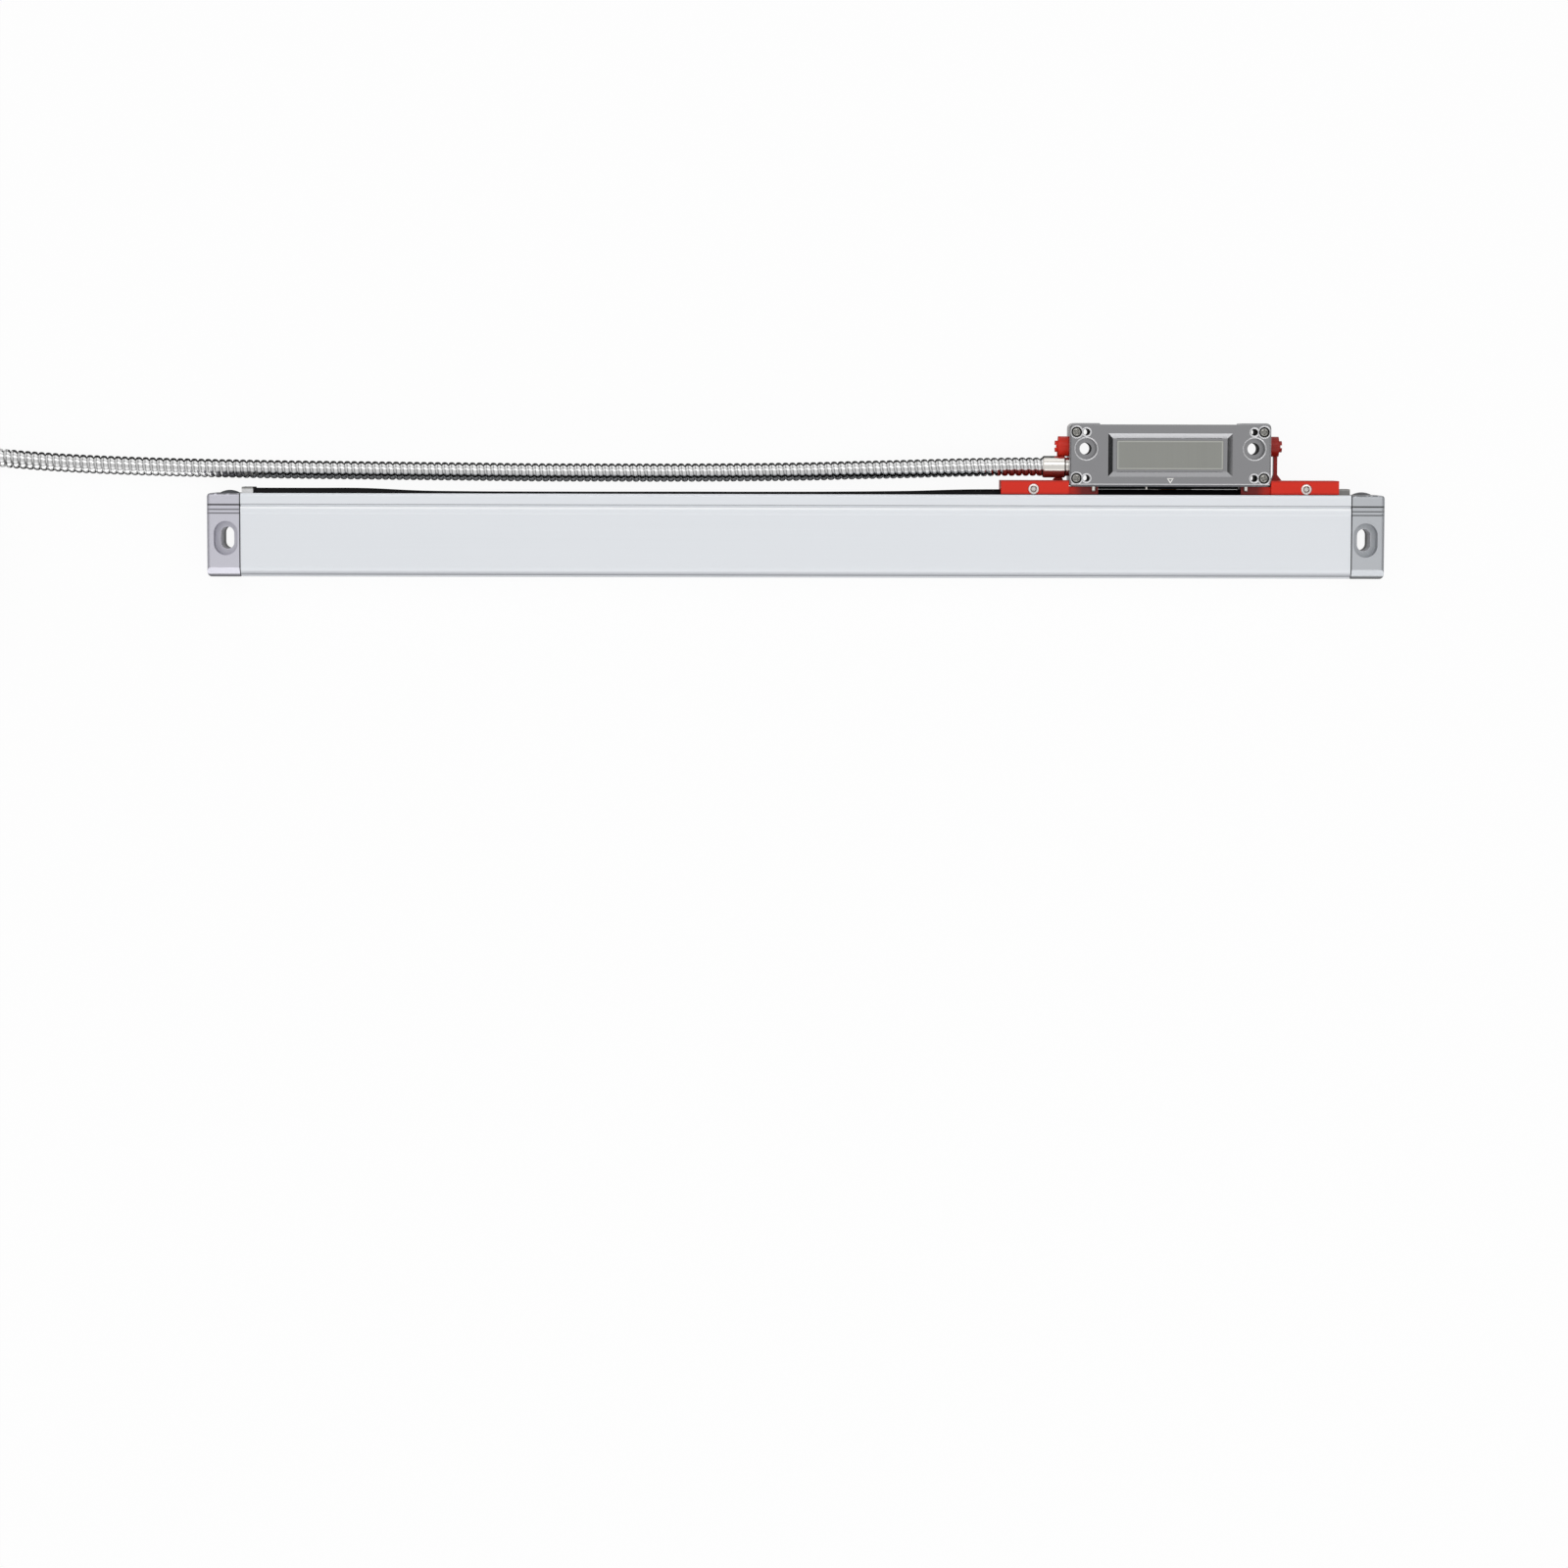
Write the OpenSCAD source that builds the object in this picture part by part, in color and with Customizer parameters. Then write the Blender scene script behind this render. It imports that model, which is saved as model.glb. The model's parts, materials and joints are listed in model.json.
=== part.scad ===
// Sealed linear glass scale with its reading head, transport brackets and armoured cable.
// X runs along the measuring direction, Y from the body towards the reading head, and Z out
// of the mounting face. The origin lies on the mounting face, midway between the two slots.

/* [Scale body] */
// Measuring length of the glass scale
measuring_length = 320; // [170:10:520]
// Length that the housing has beyond the measuring length
housing_extra = 99; // [90:1:120]
// Height of the housing, lower edge to upper edge
body_h = 31.5; // [30:0.5:36]
// Thickness of the housing over its flat band
body_t = 22; // [21.5:0.5:24]
// Distance from the upper edge down to the slot centres
slot_drop = 16.9; // [16:0.1:18]
// Wall thickness of the housing
wall = 2; // [1.6:0.1:2.4]
// Radius of the lower front edge
front_edge_r = 4; // [3:0.5:4.5]
// Radius of the other long edges
edge_r = 1; // [0.5:0.1:1.4]
// Width of the flat band along the upper edge
band_w = 4.1; // [3.4:0.1:4.6]
// Width of the groove below the band
groove_w = 0.9; // [0.6:0.1:1.2]
// Depth of that groove below the panel
groove_d = 0.5; // [0.3:0.1:0.8]
// Width of the rounded bead below the groove
bead_w = 2.8; // [2.2:0.1:3.4]
// How far the bead and the band stand above the front panel
bead_h = 0.3; // [0.2:0.05:0.5]

/* [Glass] */
// Thickness of the glass strip
glass_t = 4; // [3.4:0.1:4.2]
// Width of the glass strip
glass_w = 18; // [17:0.5:18.5]
// Length that the glass has beyond the measuring length
glass_extra = 84; // [76:1:86]
// Thickness of the bond around the glass
bond_t = 0.2; // [0.1:0.05:0.3]
// Height of the bonded foot of the glass
bond_h = 3.2; // [2.4:0.1:3.4]

/* [Seals] */
// Width of the slot for the drive arm
seal_slot_w = 8; // [7:0.5:8.5]
// Gap between the two lip tips
lip_gap = 1.4; // [1.3:0.1:1.8]
// How far the lips stand above the upper edge
lip_rise = 1.8; // [1:0.1:2]
// Length of each lip clamp
clamp_len = 4.3; // [3.5:0.1:6]
// Height of the lip clamps above the upper edge
clamp_h = 2.3; // [1.8:0.1:2.6]

/* [End caps] */
// Length of each end cap
cap_len = 12.3; // [12:0.1:16]
// Thickness of the gasket under each end cap
gasket_t = 0.4; // [0.3:0.1:1]
// Distance from the housing's end to the slot centre
slot_inset = 5.5; // [5.4:0.1:7]
// Width of the mounting slots
slot_w = 5; // [4.4:0.1:5.4]
// Length of the mounting slots
slot_len = 8.4; // [7.4:0.1:9]
// Width of the counterbore round each slot
slot_cb_w = 9; // [8.4:0.1:9.2]
// Length of the counterbore round each slot
slot_cb_len = 12.9; // [12:0.1:13.2]
// Depth of the counterbore
slot_cb_d = 6; // [4:0.5:9]
// How far the front of the end caps stands proud of the housing
cap_proud = 0.3; // [0.1:0.05:0.5]
// Width of the bevel along the lower front edge of the caps
cap_bevel = 3.5; // [2.5:0.1:4]
// Diameter of the air port plug
plug_d = 7.8; // [7:0.1:8.4]

/* [Reading head] */
// Length of the reading head
head_len = 76; // [76:0.5:82]
// Height of the reading head
head_h = 23.4; // [23:0.1:25]
// Extra height of the head's two end shoulders
shoulder_h = 0.5; // [0.3:0.1:0.8]
// Length of the head's end shoulders
shoulder_len = 11.4; // [9:0.2:13]
// Gap between the housing's upper edge and the head
head_gap = 3.15; // [3.1:0.05:3.6]
// Height of the head's seating face above the housing's mounting face
seat_z = 2; // [1:0.1:3]
// Thickness of the head base
base_t = 13; // [13:0.1:14]
// Thickness of the cover gasket
cover_gasket_t = 0.4; // [0.3:0.1:0.6]
// Thickness of the head cover
cover_t = 4.6; // [4.2:0.1:5.4]
// Corner radius of the head
head_r = 2; // [1:0.1:2.4]
// Length of the sunk panel in the cover
panel_len = 47; // [42:0.5:48]
// Height of the sunk panel in the cover
panel_h = 16.3; // [14:0.1:17]
// Width of the sloping border of the sunk panel
panel_slope = 1.9; // [1:0.1:2.2]
// Depth of the sunk panel
panel_d = 1.7; // [0.8:0.1:2]
// Distance between the head's two mounting holes
mount_span = 63.5; // [62:0.1:64.5]
// Diameter of the head's mounting holes
mount_hole_d = 4.5; // [4.2:0.1:4.8]
// Diameter of their counterbores in the cover
mount_cb_d = 8; // [7.6:0.1:8.2]
// Distance along the head between the threaded jack holes
jack_span_x = 63.3; // [62:0.1:64]
// Distance across the head between the jack holes and between the cover screws
jack_span_y = 17.4; // [17:0.1:17.6]
// Diameter of the jack holes
jack_d = 2.5; // [2.2:0.1:2.8]
// Distance from the head's end to the cover screws
cover_screw_inset = 2.6; // [2.3:0.1:2.8]
// Height of the chamfers round the holes in the cover
hole_chamfer = 0.4; // [0.2:0.05:0.5]

/* [Transport brackets] */
// Length from the head's centre to the outer end of a bracket foot
foot_reach = 63.8; // [60:0.1:70]
// Distance from the head's centre to the inner end of a bracket foot
foot_inner = 27; // [26.8:0.1:27.4]
// Height of a bracket foot
foot_h = 5.2; // [4.8:0.1:5.6]
// Sliding gap between a foot and the housing
foot_gap = 0.2; // [0.15:0.05:0.3]
// Distance from the head's centre to a bracket screw
foot_screw_x = 51.5; // [49:0.5:56]
// Thickness of the spring arm
arm_t = 1.4; // [1:0.1:1.6]
// Gap between the spring arm and the head's end
arm_gap = 2.4; // [2:0.1:2.6]
// Diameter of the eye at the top of the spring arm
eye_d = 7.6; // [7:0.1:7.8]

/* [Optics carriage] */
// Outside diameter of the guide bearings
bearing_d = 6; // [5.6:0.1:6]
// Width of the guide bearings
bearing_w = 2.5; // [2:0.1:2.6]
// Diameter of the bearing axles
axle_d = 3; // [2.4:0.1:3.2]
// Radial running clearance of the bearings on their axles
run_gap = 0.05; // [0.02:0.01:0.08]
// Thickness of the drive arm
blade_t = 0.8; // [0.6:0.1:0.9]
// Distance between the two upper face bearings
face_span = 40; // [34:1:44]
// Distance between the two edge bearings
edge_span = 48; // [44:1:50]

/* [Cable] */
// Outside diameter of the armoured hose
hose_d = 7; // [7:0.1:7]
// Diameter of the stainless ferrule
ferrule_d = 8.2; // [8:0.1:9]
// Length of the ferrule outside the head
ferrule_len = 9.8; // [8:0.1:12]
// Mean diameter of the coil at the middle of its turns
coil_mean_d = 77; // [77:1:84]

/* [Hidden] */

$fn = 48;
eps = 0.01;  // overlap of cutting tools
past = 1;    // how far a cutting tool runs past the face that it cuts

// ---- scale body
housing_len = measuring_length + housing_extra;
housing_end = housing_len / 2;
y_top = slot_drop;
y_low = slot_drop - body_h;
panel_z = body_t - bead_h;
band_y = y_top - band_w;
bead_top_y = band_y - groove_w;
bead_low_y = bead_top_y - bead_w;
bead_r = (pow(bead_w / 2, 2) + pow(bead_h, 2)) / (2 * bead_h);
groove_edge_r = 0.2;
cavity_y0 = y_low + wall;
cavity_y1 = y_top - wall;
cavity_z1 = panel_z - wall;
cavity_r = 0.6;

// ---- end cap screws: one channel low at the front, one high at the rear
cap_screw_d = 2.8;
cap_screw_head_d = 5.2;
cap_screw_head_h = 1.8;
cap_screw_len = 20;
channel_r = 2.4;
channel_low = [y_low + 4.4, cavity_z1 - 2.3];
channel_high = [y_top - 4.5, wall + 2.4];
CHANNELS = [channel_low, channel_high];

// ---- glass
lip_z = body_t / 2;              // mid-plane of the drive arm and the seal slot
blade_z0 = lip_z - blade_t / 2;
blade_z1 = lip_z + blade_t / 2;
glass_z1 = blade_z0 - 0.1;       // the glass face lies just behind the arm
glass_z0 = glass_z1 - glass_t;
glass_y0 = cavity_y0 + 0.6;
glass_y1 = glass_y0 + glass_w;
glass_len = measuring_length + glass_extra;
rib_t = 1.5;                     // front rib of the glass groove
rib_low = 1.4;                   // how much lower the front rib is than the bond

// ---- seals
seal_z0 = lip_z - seal_slot_w / 2;
seal_z1 = lip_z + seal_slot_w / 2;
seal_groove = [y_top - 1.5, y_top - 0.5];   // grooves that hold the lips' feet
seal_groove_d = 1;
lip_fit = 0.05;
lip_end = housing_end - clamp_len - 0.1;
lip_tip_t = 0.6;
lip_clear = 0.3;                 // what slides over the lips stays this far from them

// ---- end caps
cap_in = housing_end + gasket_t;
cap_out = cap_in + cap_len;
cap_t = body_t + cap_proud;
cap_bevel_z = 3;
cap_corner_r = 1.6;
slot_x = housing_end + slot_inset;
spigot_len = 1.6;
spigot_gap = 0.3;
cap_groove_w = 0.5;
cap_groove_d = 0.4;
CAP_GROOVES = [band_y - 0.2, bead_top_y - 1.1, bead_low_y + 0.3];
port_x = slot_x - 0.4;
port_d = 5;
port_depth = 5;
plug_rise = 1.1;
plug_r = (pow(plug_d / 2, 2) + pow(plug_rise, 2)) / (2 * plug_rise);

// ---- reading head, drawn about its own centre line x = 0
rest_gap = 0.1;   // gap left between the right foot and the right lip clamp at rest
head_x = housing_end - clamp_len - rest_gap - foot_reach;
head_half = head_len / 2;
head_y0 = y_top + head_gap;
head_y1 = head_y0 + head_h;
base_z1 = seat_z + base_t;
cover_z0 = base_z1 + cover_gasket_t;
cover_z1 = cover_z0 + cover_t;
cover_chamfer = 0.6;
cover_low_chamfer = 0.9;
bridge_half = 26.3;              // the low bridge that carries the drive arm
bridge_y0 = y_top + lip_rise + lip_clear;
bridge_z = [seat_z + 3, seat_z + 11];
bridge_notch_x = -8.3;
bridge_notch_w = 0.8;
pocket_half = 23;
pocket_wall = 2.5;
pocket_r = 1.5;
pocket_y = [head_y0 + pocket_wall, head_y1 - pocket_wall];
pocket_floor = seat_z + 3;
mount_rise = 14.25;              // heights above the head's lower edge
jack_rise = 11.85;
panel_rise = 11.9;
mount_y = head_y0 + mount_rise;
jack_y = head_y0 + jack_rise;
cover_screw_span = head_len - 2 * cover_screw_inset;
screw_hole_d = 2.4;
cover_screw_len = 10.3;
cover_screw_head_d = 3.4;
cover_screw_cb_d = 3.9;
cover_screw_cb_h = 1.4;
panel_y = head_y0 + panel_rise;
plate_t = 0.3;
plate_inset = 1.5;
pin_d = 1.9;                     // locating pins
pin_x = 28.8;
pin_z = cover_z1 - 2.1;
pin_drop = 1.75;                 // how far the pins stand out below the head
pin_bore = 3.4;

// ---- what the head holds
pcb_h = 10.3;
pcb_y1 = pocket_y[1] - 0.3;
pcb_y = [pcb_y1 - pcb_h, pcb_y1];
pcb_half = pocket_half - 1.5;
pcb_z = pocket_floor + 4;
pcb_t = 1.6;
post_d = 3.2;
post_inset = 1.7;
post_x = pcb_half - post_inset - 0.8;
POSTS = [for (x = [-post_x, post_x], y = [pcb_y[0] + post_inset, pcb_y[1] - post_inset]) [x, y]];
// chips on the board: low x, low y above the board's edge, width, depth, height
CHIPS = [[-15, 3.2, 8, 4.8, 1.4], [6, 2.4, 7, 6, 1], [-4, 1, 8, 3, 1.4]];
arm_half = 8.8;
arm_rise = 9;
arm_top_y = head_y0 + arm_rise;
arm_screw_x = 6;
arm_screw_y = arm_top_y - 2.6;
arm_screw_d = 2;
arm_gap_z = 0.4;
arm_shoulder_y = y_top - 3;
neck_half = 3.2;
ball_r = 1.4;
ball_y = glass_y1 + 2.6;

// ---- optics carriage, about x = 0 of the head
track_y = glass_y1 - 4.5;        // centre line of the graduation
plate_z0 = blade_z1;
plate_z1 = plate_z0 + 1.6;
carriage_half = edge_span / 2 + 5;
carriage_y = [glass_y0 + 2.7, glass_y1 + 7.2];
roll_gap = 0.05;
bearing_r = bearing_d / 2;
axle_r = axle_d / 2;
face_axle_z = glass_z1 + roll_gap + bearing_r;
edge_axle_y = glass_y1 + roll_gap + bearing_r;
edge_mid_z = (glass_z0 + glass_z1) / 2;
bearing_rows = 7;                // distance between the two rows of face bearings
FACE_BEARINGS = [[-face_span / 2, track_y], [face_span / 2, track_y],
                 [0, track_y - bearing_rows]];
EDGE_BEARINGS = [-edge_span / 2, edge_span / 2];
lug_in = bearing_w / 2 + 0.35;
lug_out = lug_in + 1.2;
lug_half = 2.4;
lug_z1 = face_axle_z + 2.05;
window_half = [6.5, 3];
cheek_z = [glass_z0 - 1.9, glass_z0 - 0.7];
cheek_y = [glass_y0 + 6, glass_y1 + 3.6];
tie_x = [9.5, 16];
tie_y0 = glass_y1 + 0.8;
lens_r = 2.5;
collar_r = 2.3;
board_t = 1.2;
grating_t = 1;
grating_gap = 0.25;
detector_y = [track_y - 3.9, track_y + 6.7];
detector_z = [plate_z1, plate_z1 + board_t];
flex_t = 0.25;
flex_half = 3;
flex_step_y = carriage_y[1] + 0.15;
spring_x = [4.2, 7.4];
spring_t = 0.2;

// ---- transport brackets
foot_x0 = head_half + 0.2;        // the foot stops just short of the head's end
foot_y0 = y_top + foot_gap;
foot_y1 = foot_y0 + foot_h;
foot_z = [seat_z + 0.5, cover_z1 - 0.5];
tongue_z1 = pin_z - pin_d / 2 - 0.15;
channel_y1 = y_top + lip_rise + lip_clear;
channel_z = [seal_z0 - lip_clear, seal_z1 + lip_clear];
foot_screw_y = y_top + 2.2;
foot_screw_d = 2.5;
foot_screw_head_d = 4;
foot_screw_head_h = 1.3;
arm_z = [foot_z[0], foot_z[0] + 3.8];
eye_rise = 15.1;
eye_y = head_y0 + eye_rise;
eye_z = seat_z + 7;
eye_pin_d = 3;
eye_pin_head_d = 4.3;
eye_pin_head_h = 1.2;
eye_pin_reach = 3.4;

// ---- ferrule and cable
cable_rise = 7.35;
cable_y = head_y0 + cable_rise;
cable_z = seat_z + 9;
core_d = 4;
ferrule_bore = 3;
ferrule_neck_d = 7;
ferrule_thread_d = 6;
thread_len = 4.8;
hose_fit = 0.1;

// ---- route of the hose: from the ferrule to the coil, then from the coil to the connector.
// The first point is worked out from the ferrule, the others were chosen by eye.
hose_start = [head_x - head_half - ferrule_len + ferrule_bore, cable_y, cable_z];
ROUTE = [
    hose_start, [84, 27.4, 11], [70, 27.2, 10.6], [54, 26.8, 9.4], [38, 26.3, 7.6],
    [22, 25.9, 5.7], [6, 25.4, 4.2], [-12, 25.1, 3.6], [-32, 24.9, 3.5], [-54, 24.8, 3.5],
    [-76, 24.8, 3.5], [-98, 24.8, 3.5], [-120, 25, 3.5], [-142, 25.2, 3.5],
    [-164, 25.4, 3.5], [-186, 25.6, 3.5], [-208, 25.9, 3.5], [-230, 26.3, 3.5],
    [-252, 26.9, 3.5], [-272, 27.7, 3.5], [-290, 28.8, 3.5], [-306, 30.2, 3.6],
    [-322, 31.9, 3.9], [-338, 33.2, 4.2], [-348, 33.6, 4.4]
];
LEAD = [
    [-324, -41.4, 25.7], [-317, -29, 27.6], [-313.6, -15, 30.4], [-314.2, -1, 32.5],
    [-320.3, 12, 32.8], [-331, 24.2, 32.8], [-344, 31.6, 32.8], [-358, 33.9, 32.9],
    [-370, 32, 33.3], [-379, 26, 34], [-384.8, 18, 35], [-387.4, 10, 36.2],
    [-388, 3, 36.9], [-388, 1, 36.9], [-388, -4, 36.9]
];
coil_c = [-359, -12];            // centre of the coil
coil_z0 = 0.9;                   // the coil lies on its two ties
turn_gap = 0.2;
turn_dz = hose_d + 0.1;
coil_r = coil_mean_d / 2;
coil_in = coil_r - 1.5 * hose_d - turn_gap;
coil_out = coil_r + 1.5 * hose_d + turn_gap;
coil_step = coil_r - 0.5 * hose_d;
coil_z2 = coil_z0 + hose_d + turn_dz;
coil_z4 = coil_z0 + hose_d + 3 * turn_dz;
tie_t = 0.9;
TIE_ANGLES = [120, 264];
tie_sweep = 12;

// ---- connector, drawn with its mating side along +Y and its rear at the origin
connector_at = LEAD[len(LEAD) - 1];
hood_half = 15.5;
hood_neck = 9.5;
hood_h = 7.7;
hood_len = 34;
hood_wing_y = 20;
hood_wall = 1.6;
hood_rear_wall = 3.1;
hood_screw = [7, 1.6];           // place of the hood's screws, beside the collar
hood_screw_d = 1.6;
hood_screw_head_d = 2.8;
jackscrew_x = 12.5;
jackscrew_d = 2.8;
jackscrew_head_d = 5.8;
jackscrew_len = 40;
collar_out = 4;                  // how far the hose collar stands out of the hood
collar_d = 9;
flange_t = 0.8;
shell_len = 5.8;
shell_half = [8.3, 7, 4];        // half width on the row of five, on the row of four, half height
shell_t = 0.4;
flange_half_h = 6.2;
pin_rows = [[-2, 1.42, 5], [-1.5, -1.42, 4]];
pin_pitch = 2.77;
contact_d = 1;

// ==== helpers ====================================================================

// extrudes an outline drawn in (y, z) along X, from x0 to x1
module along_x(x0, x1) {
    translate([x0, 0, 0]) rotate([90, 0, 90]) linear_extrude(height = x1 - x0) children();
}

// extrudes an outline drawn in (x, z) along Y, from y0 to y1
module along_y(y0, y1) {
    translate([0, y1, 0]) rotate([90, 0, 0]) linear_extrude(height = y1 - y0) children();
}

// extrudes an outline drawn in (x, y) along Z, from z0 to z1
module along_z(z0, z1) {
    translate([0, 0, z0]) linear_extrude(height = z1 - z0) children();
}

module rod_x(d, x0, x1, y, z) {
    translate([x0, y, z]) rotate([0, 90, 0]) cylinder(d = d, h = x1 - x0);
}

module rod_y(d, y0, y1, x, z) {
    translate([x, y0, z]) rotate([-90, 0, 0]) cylinder(d = d, h = y1 - y0);
}

module rod_z(d, z0, z1, x, y) {
    translate([x, y, z0]) cylinder(d = d, h = z1 - z0);
}

// a box from its low corner to its high corner
module box(low, high) {
    translate(low) cube(high - low);
}

// a rectangle from its low corner to its high corner
module rect(low, high) {
    translate(low) square(high - low);
}

// what has to be cut from a corner at [x, y] to round it; sx and sy point into the shape
module corner_cut(x, y, sx, sy, r) {
    translate([x, y]) mirror([sx < 0 ? 1 : 0, 0]) mirror([0, sy < 0 ? 1 : 0])
        difference() {
            translate([-past, -past]) square(r + past);
            translate([r, r]) circle(r);
        }
}

// rectangle with its own radius at each corner: [low-low, high-low, high-high, low-high]
module rounded_rect(low, high, r) {
    difference() {
        rect(low, high);
        corner_cut(low[0], low[1], 1, 1, r[0]);
        corner_cut(high[0], low[1], -1, 1, r[1]);
        corner_cut(high[0], high[1], -1, -1, r[2]);
        corner_cut(low[0], high[1], 1, -1, r[3]);
    }
}

// slot outline of width w and overall length l along Y
module slot_outline(w, l) {
    for (s = [-1, 1]) translate([0, s * (l - w) / 2]) circle(d = w);
    square([w, l - w], center = true);
}

// shifts the head's own parts to the place of the head
module at_head() {
    translate([head_x, 0, 0]) children();
}

// draws a piece twice, at both signs of X
module both_ends() {
    children();
    mirror([1, 0, 0]) children();
}

// screw with its head top at z1, its head bottom at zb and its tip at z0, with a cross recess
module cross_screw(head_d, d, z0, zb, z1) {
    difference() {
        union() {
            rod_z(head_d, zb, z1, 0, 0);
            rod_z(d, z0, zb + eps, 0, 0);
        }
        for (a = [45, 135]) rotate([0, 0, a])
            translate([-0.3 * head_d, -0.08 * head_d, z1 - 0.16 * head_d])
                cube([0.6 * head_d, 0.16 * head_d, past]);
    }
}

// ==== scale body =================================================================

module housing_outline() {
    difference() {
        union() {
            rounded_rect([y_low, 0], [y_top, panel_z], [edge_r, edge_r, 0, front_edge_r]);
            rounded_rect([band_y, panel_z - past], [y_top, body_t],
                         [0, 0, edge_r, groove_edge_r]);
            intersection() {
                translate([bead_top_y - bead_w / 2, body_t - bead_r]) circle(bead_r, $fn = 96);
                rect([bead_low_y, panel_z - eps], [bead_top_y, body_t + eps]);
            }
        }
        rect([bead_top_y, panel_z - groove_d], [band_y, body_t + past]);
    }
}

module screw_channels(d) {
    for (c = CHANNELS) translate(c) circle(d = d);
}

module housing_section() {
    difference() {
        housing_outline();
        difference() {
            rounded_rect([cavity_y0, wall], [cavity_y1, cavity_z1],
                         [cavity_r, cavity_r, cavity_r, cavity_r]);
            screw_channels(2 * channel_r);
            // corners behind the two channels
            rect([cavity_y0 - past, channel_low[1]], [channel_low[0], cavity_z1 + past]);
            rect([channel_high[0], 0], [cavity_y1 + past, channel_high[1]]);
            // groove that holds the glass: rear ledge and front rib
            rect([cavity_y0 - past, 0], [glass_y0 + bond_h, glass_z0 - bond_t]);
            rect([cavity_y0 - past, glass_z1 + bond_t],
                 [glass_y0 + bond_h - rib_low, glass_z1 + bond_t + rib_t]);
        }
        screw_channels(cap_screw_d);
        rect([cavity_y1 - past, seal_z0], [y_top + past, seal_z1]);
        rect([seal_groove[0], seal_z0 - seal_groove_d],
             [seal_groove[1], seal_z1 + seal_groove_d]);
    }
}

module housing_extrusion() color([0.88, 0.88, 0.89])
    along_x(-housing_end, housing_end) housing_section();

module glass_scale() color([0.75, 0.9, 0.88, 0.6])
    along_x(-glass_len / 2, glass_len / 2) rect([glass_y0, glass_z0], [glass_y1, glass_z1]);

module glass_bond() color([0.2, 0.2, 0.22])
    along_x(-glass_len / 2, glass_len / 2) difference() {
        rect([cavity_y0, glass_z0 - bond_t], [glass_y0 + bond_h, glass_z1 + bond_t]);
        rect([glass_y0, glass_z0], [glass_y1, glass_z1]);
        rect([glass_y0 + bond_h - rib_low, glass_z1], [glass_y1, body_t]);
    }

// section of the front lip: a foot in the groove and a thin web that leans to the middle
module lip_section() {
    foot_z = seal_z1 + seal_groove_d - lip_fit;
    tip_z = lip_z + lip_gap / 2;
    polygon([
        [seal_groove[0] + lip_fit, foot_z], [seal_groove[1] - lip_fit, foot_z],
        [seal_groove[1] - lip_fit, seal_z1 - lip_fit], [y_top, seal_z1 - 0.2],
        [y_top + lip_rise - 0.1, tip_z + lip_tip_t], [y_top + lip_rise, tip_z + 0.3],
        [y_top + lip_rise, tip_z], [y_top + lip_rise - lip_tip_t, tip_z],
        [seal_groove[0] + lip_fit, seal_z1 - 0.9]
    ]);
}

module lip_seal_front() color([0.09, 0.09, 0.09])
    along_x(-lip_end, lip_end) lip_section();

module lip_seal_rear() color([0.09, 0.09, 0.09])
    along_x(-lip_end, lip_end)
        translate([0, 2 * lip_z]) mirror([0, 1]) lip_section();

module lip_clamp() {
    x0 = housing_end - clamp_len;
    along_x(x0, housing_end) {
        rounded_rect([y_top, seal_z0 - 2], [y_top + clamp_h, seal_z1 + 2],
                     [0, 0.6, 0.6, 0]);
        rect([cavity_y1, seal_z0 + lip_fit], [y_top + eps, seal_z1 - lip_fit]);
    }
}

module lip_clamp_left() color([0.72, 0.72, 0.72]) mirror([1, 0, 0]) lip_clamp();

module lip_clamp_right() color([0.72, 0.72, 0.72]) lip_clamp();

module cap_outline() {
    difference() {
        rounded_rect([y_low, 0], [y_top, cap_t], [edge_r, edge_r, edge_r, 0]);
        polygon([[y_low - past, cap_t - cap_bevel_z - past * cap_bevel_z / cap_bevel],
                 [y_low + cap_bevel + past, cap_t + past * cap_bevel_z / cap_bevel],
                 [y_low - past, cap_t + past * cap_bevel_z / cap_bevel]]);
        for (y = CAP_GROOVES)
            rect([y - cap_groove_w / 2, cap_t - cap_groove_d],
                 [y + cap_groove_w / 2, cap_t + past]);
    }
}

module end_gasket() {
    along_x(housing_end, cap_in) difference() {
        rounded_rect([y_low + 0.2, 0.2], [y_top - 0.2, panel_z - 0.2],
                     [edge_r, edge_r, edge_r, front_edge_r]);
        rect([cavity_y0 + 8, wall + spigot_gap], [cavity_y1 - 5.5, cavity_z1 - spigot_gap]);
        screw_channels(cap_screw_d + 0.2);
    }
}

module end_gasket_left() color([0.15, 0.15, 0.16]) mirror([1, 0, 0]) end_gasket();

module end_gasket_right() color([0.15, 0.15, 0.16]) end_gasket();

module end_cap() {
    difference() {
        union() {
            intersection() {
                along_x(cap_in, cap_out) cap_outline();
                along_z(0, cap_t) rounded_rect([cap_in - past, y_low], [cap_out, y_top],
                                               [0, cap_corner_r, cap_corner_r, 0]);
                along_y(y_low, y_top) rounded_rect([cap_in - past, 0], [cap_out, cap_t],
                                                   [0, edge_r, cap_corner_r, 0]);
            }
            // spigot that centres the cap in the housing
            box([housing_end - spigot_len, cavity_y0 + 8, wall + spigot_gap],
                [cap_in + eps, cavity_y1 - 5.5, cavity_z1 - spigot_gap]);
        }
        translate([slot_x, 0, 0]) {
            along_z(-past, cap_t + past) slot_outline(slot_w, slot_len);
            along_z(cap_t - slot_cb_d, cap_t + past) slot_outline(slot_cb_w, slot_cb_len);
        }
        for (c = CHANNELS) {
            rod_x(cap_screw_d, cap_in - past, cap_out + past, c[0], c[1]);
            rod_x(cap_screw_head_d + 0.3, cap_out - cap_screw_head_h - 0.2, cap_out + past,
                  c[0], c[1]);
        }
        rod_y(port_d, y_top - port_depth, y_top + past, port_x, lip_z);
    }
}

module end_cap_left() color([0.77, 0.77, 0.8]) mirror([1, 0, 0]) end_cap();

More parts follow.
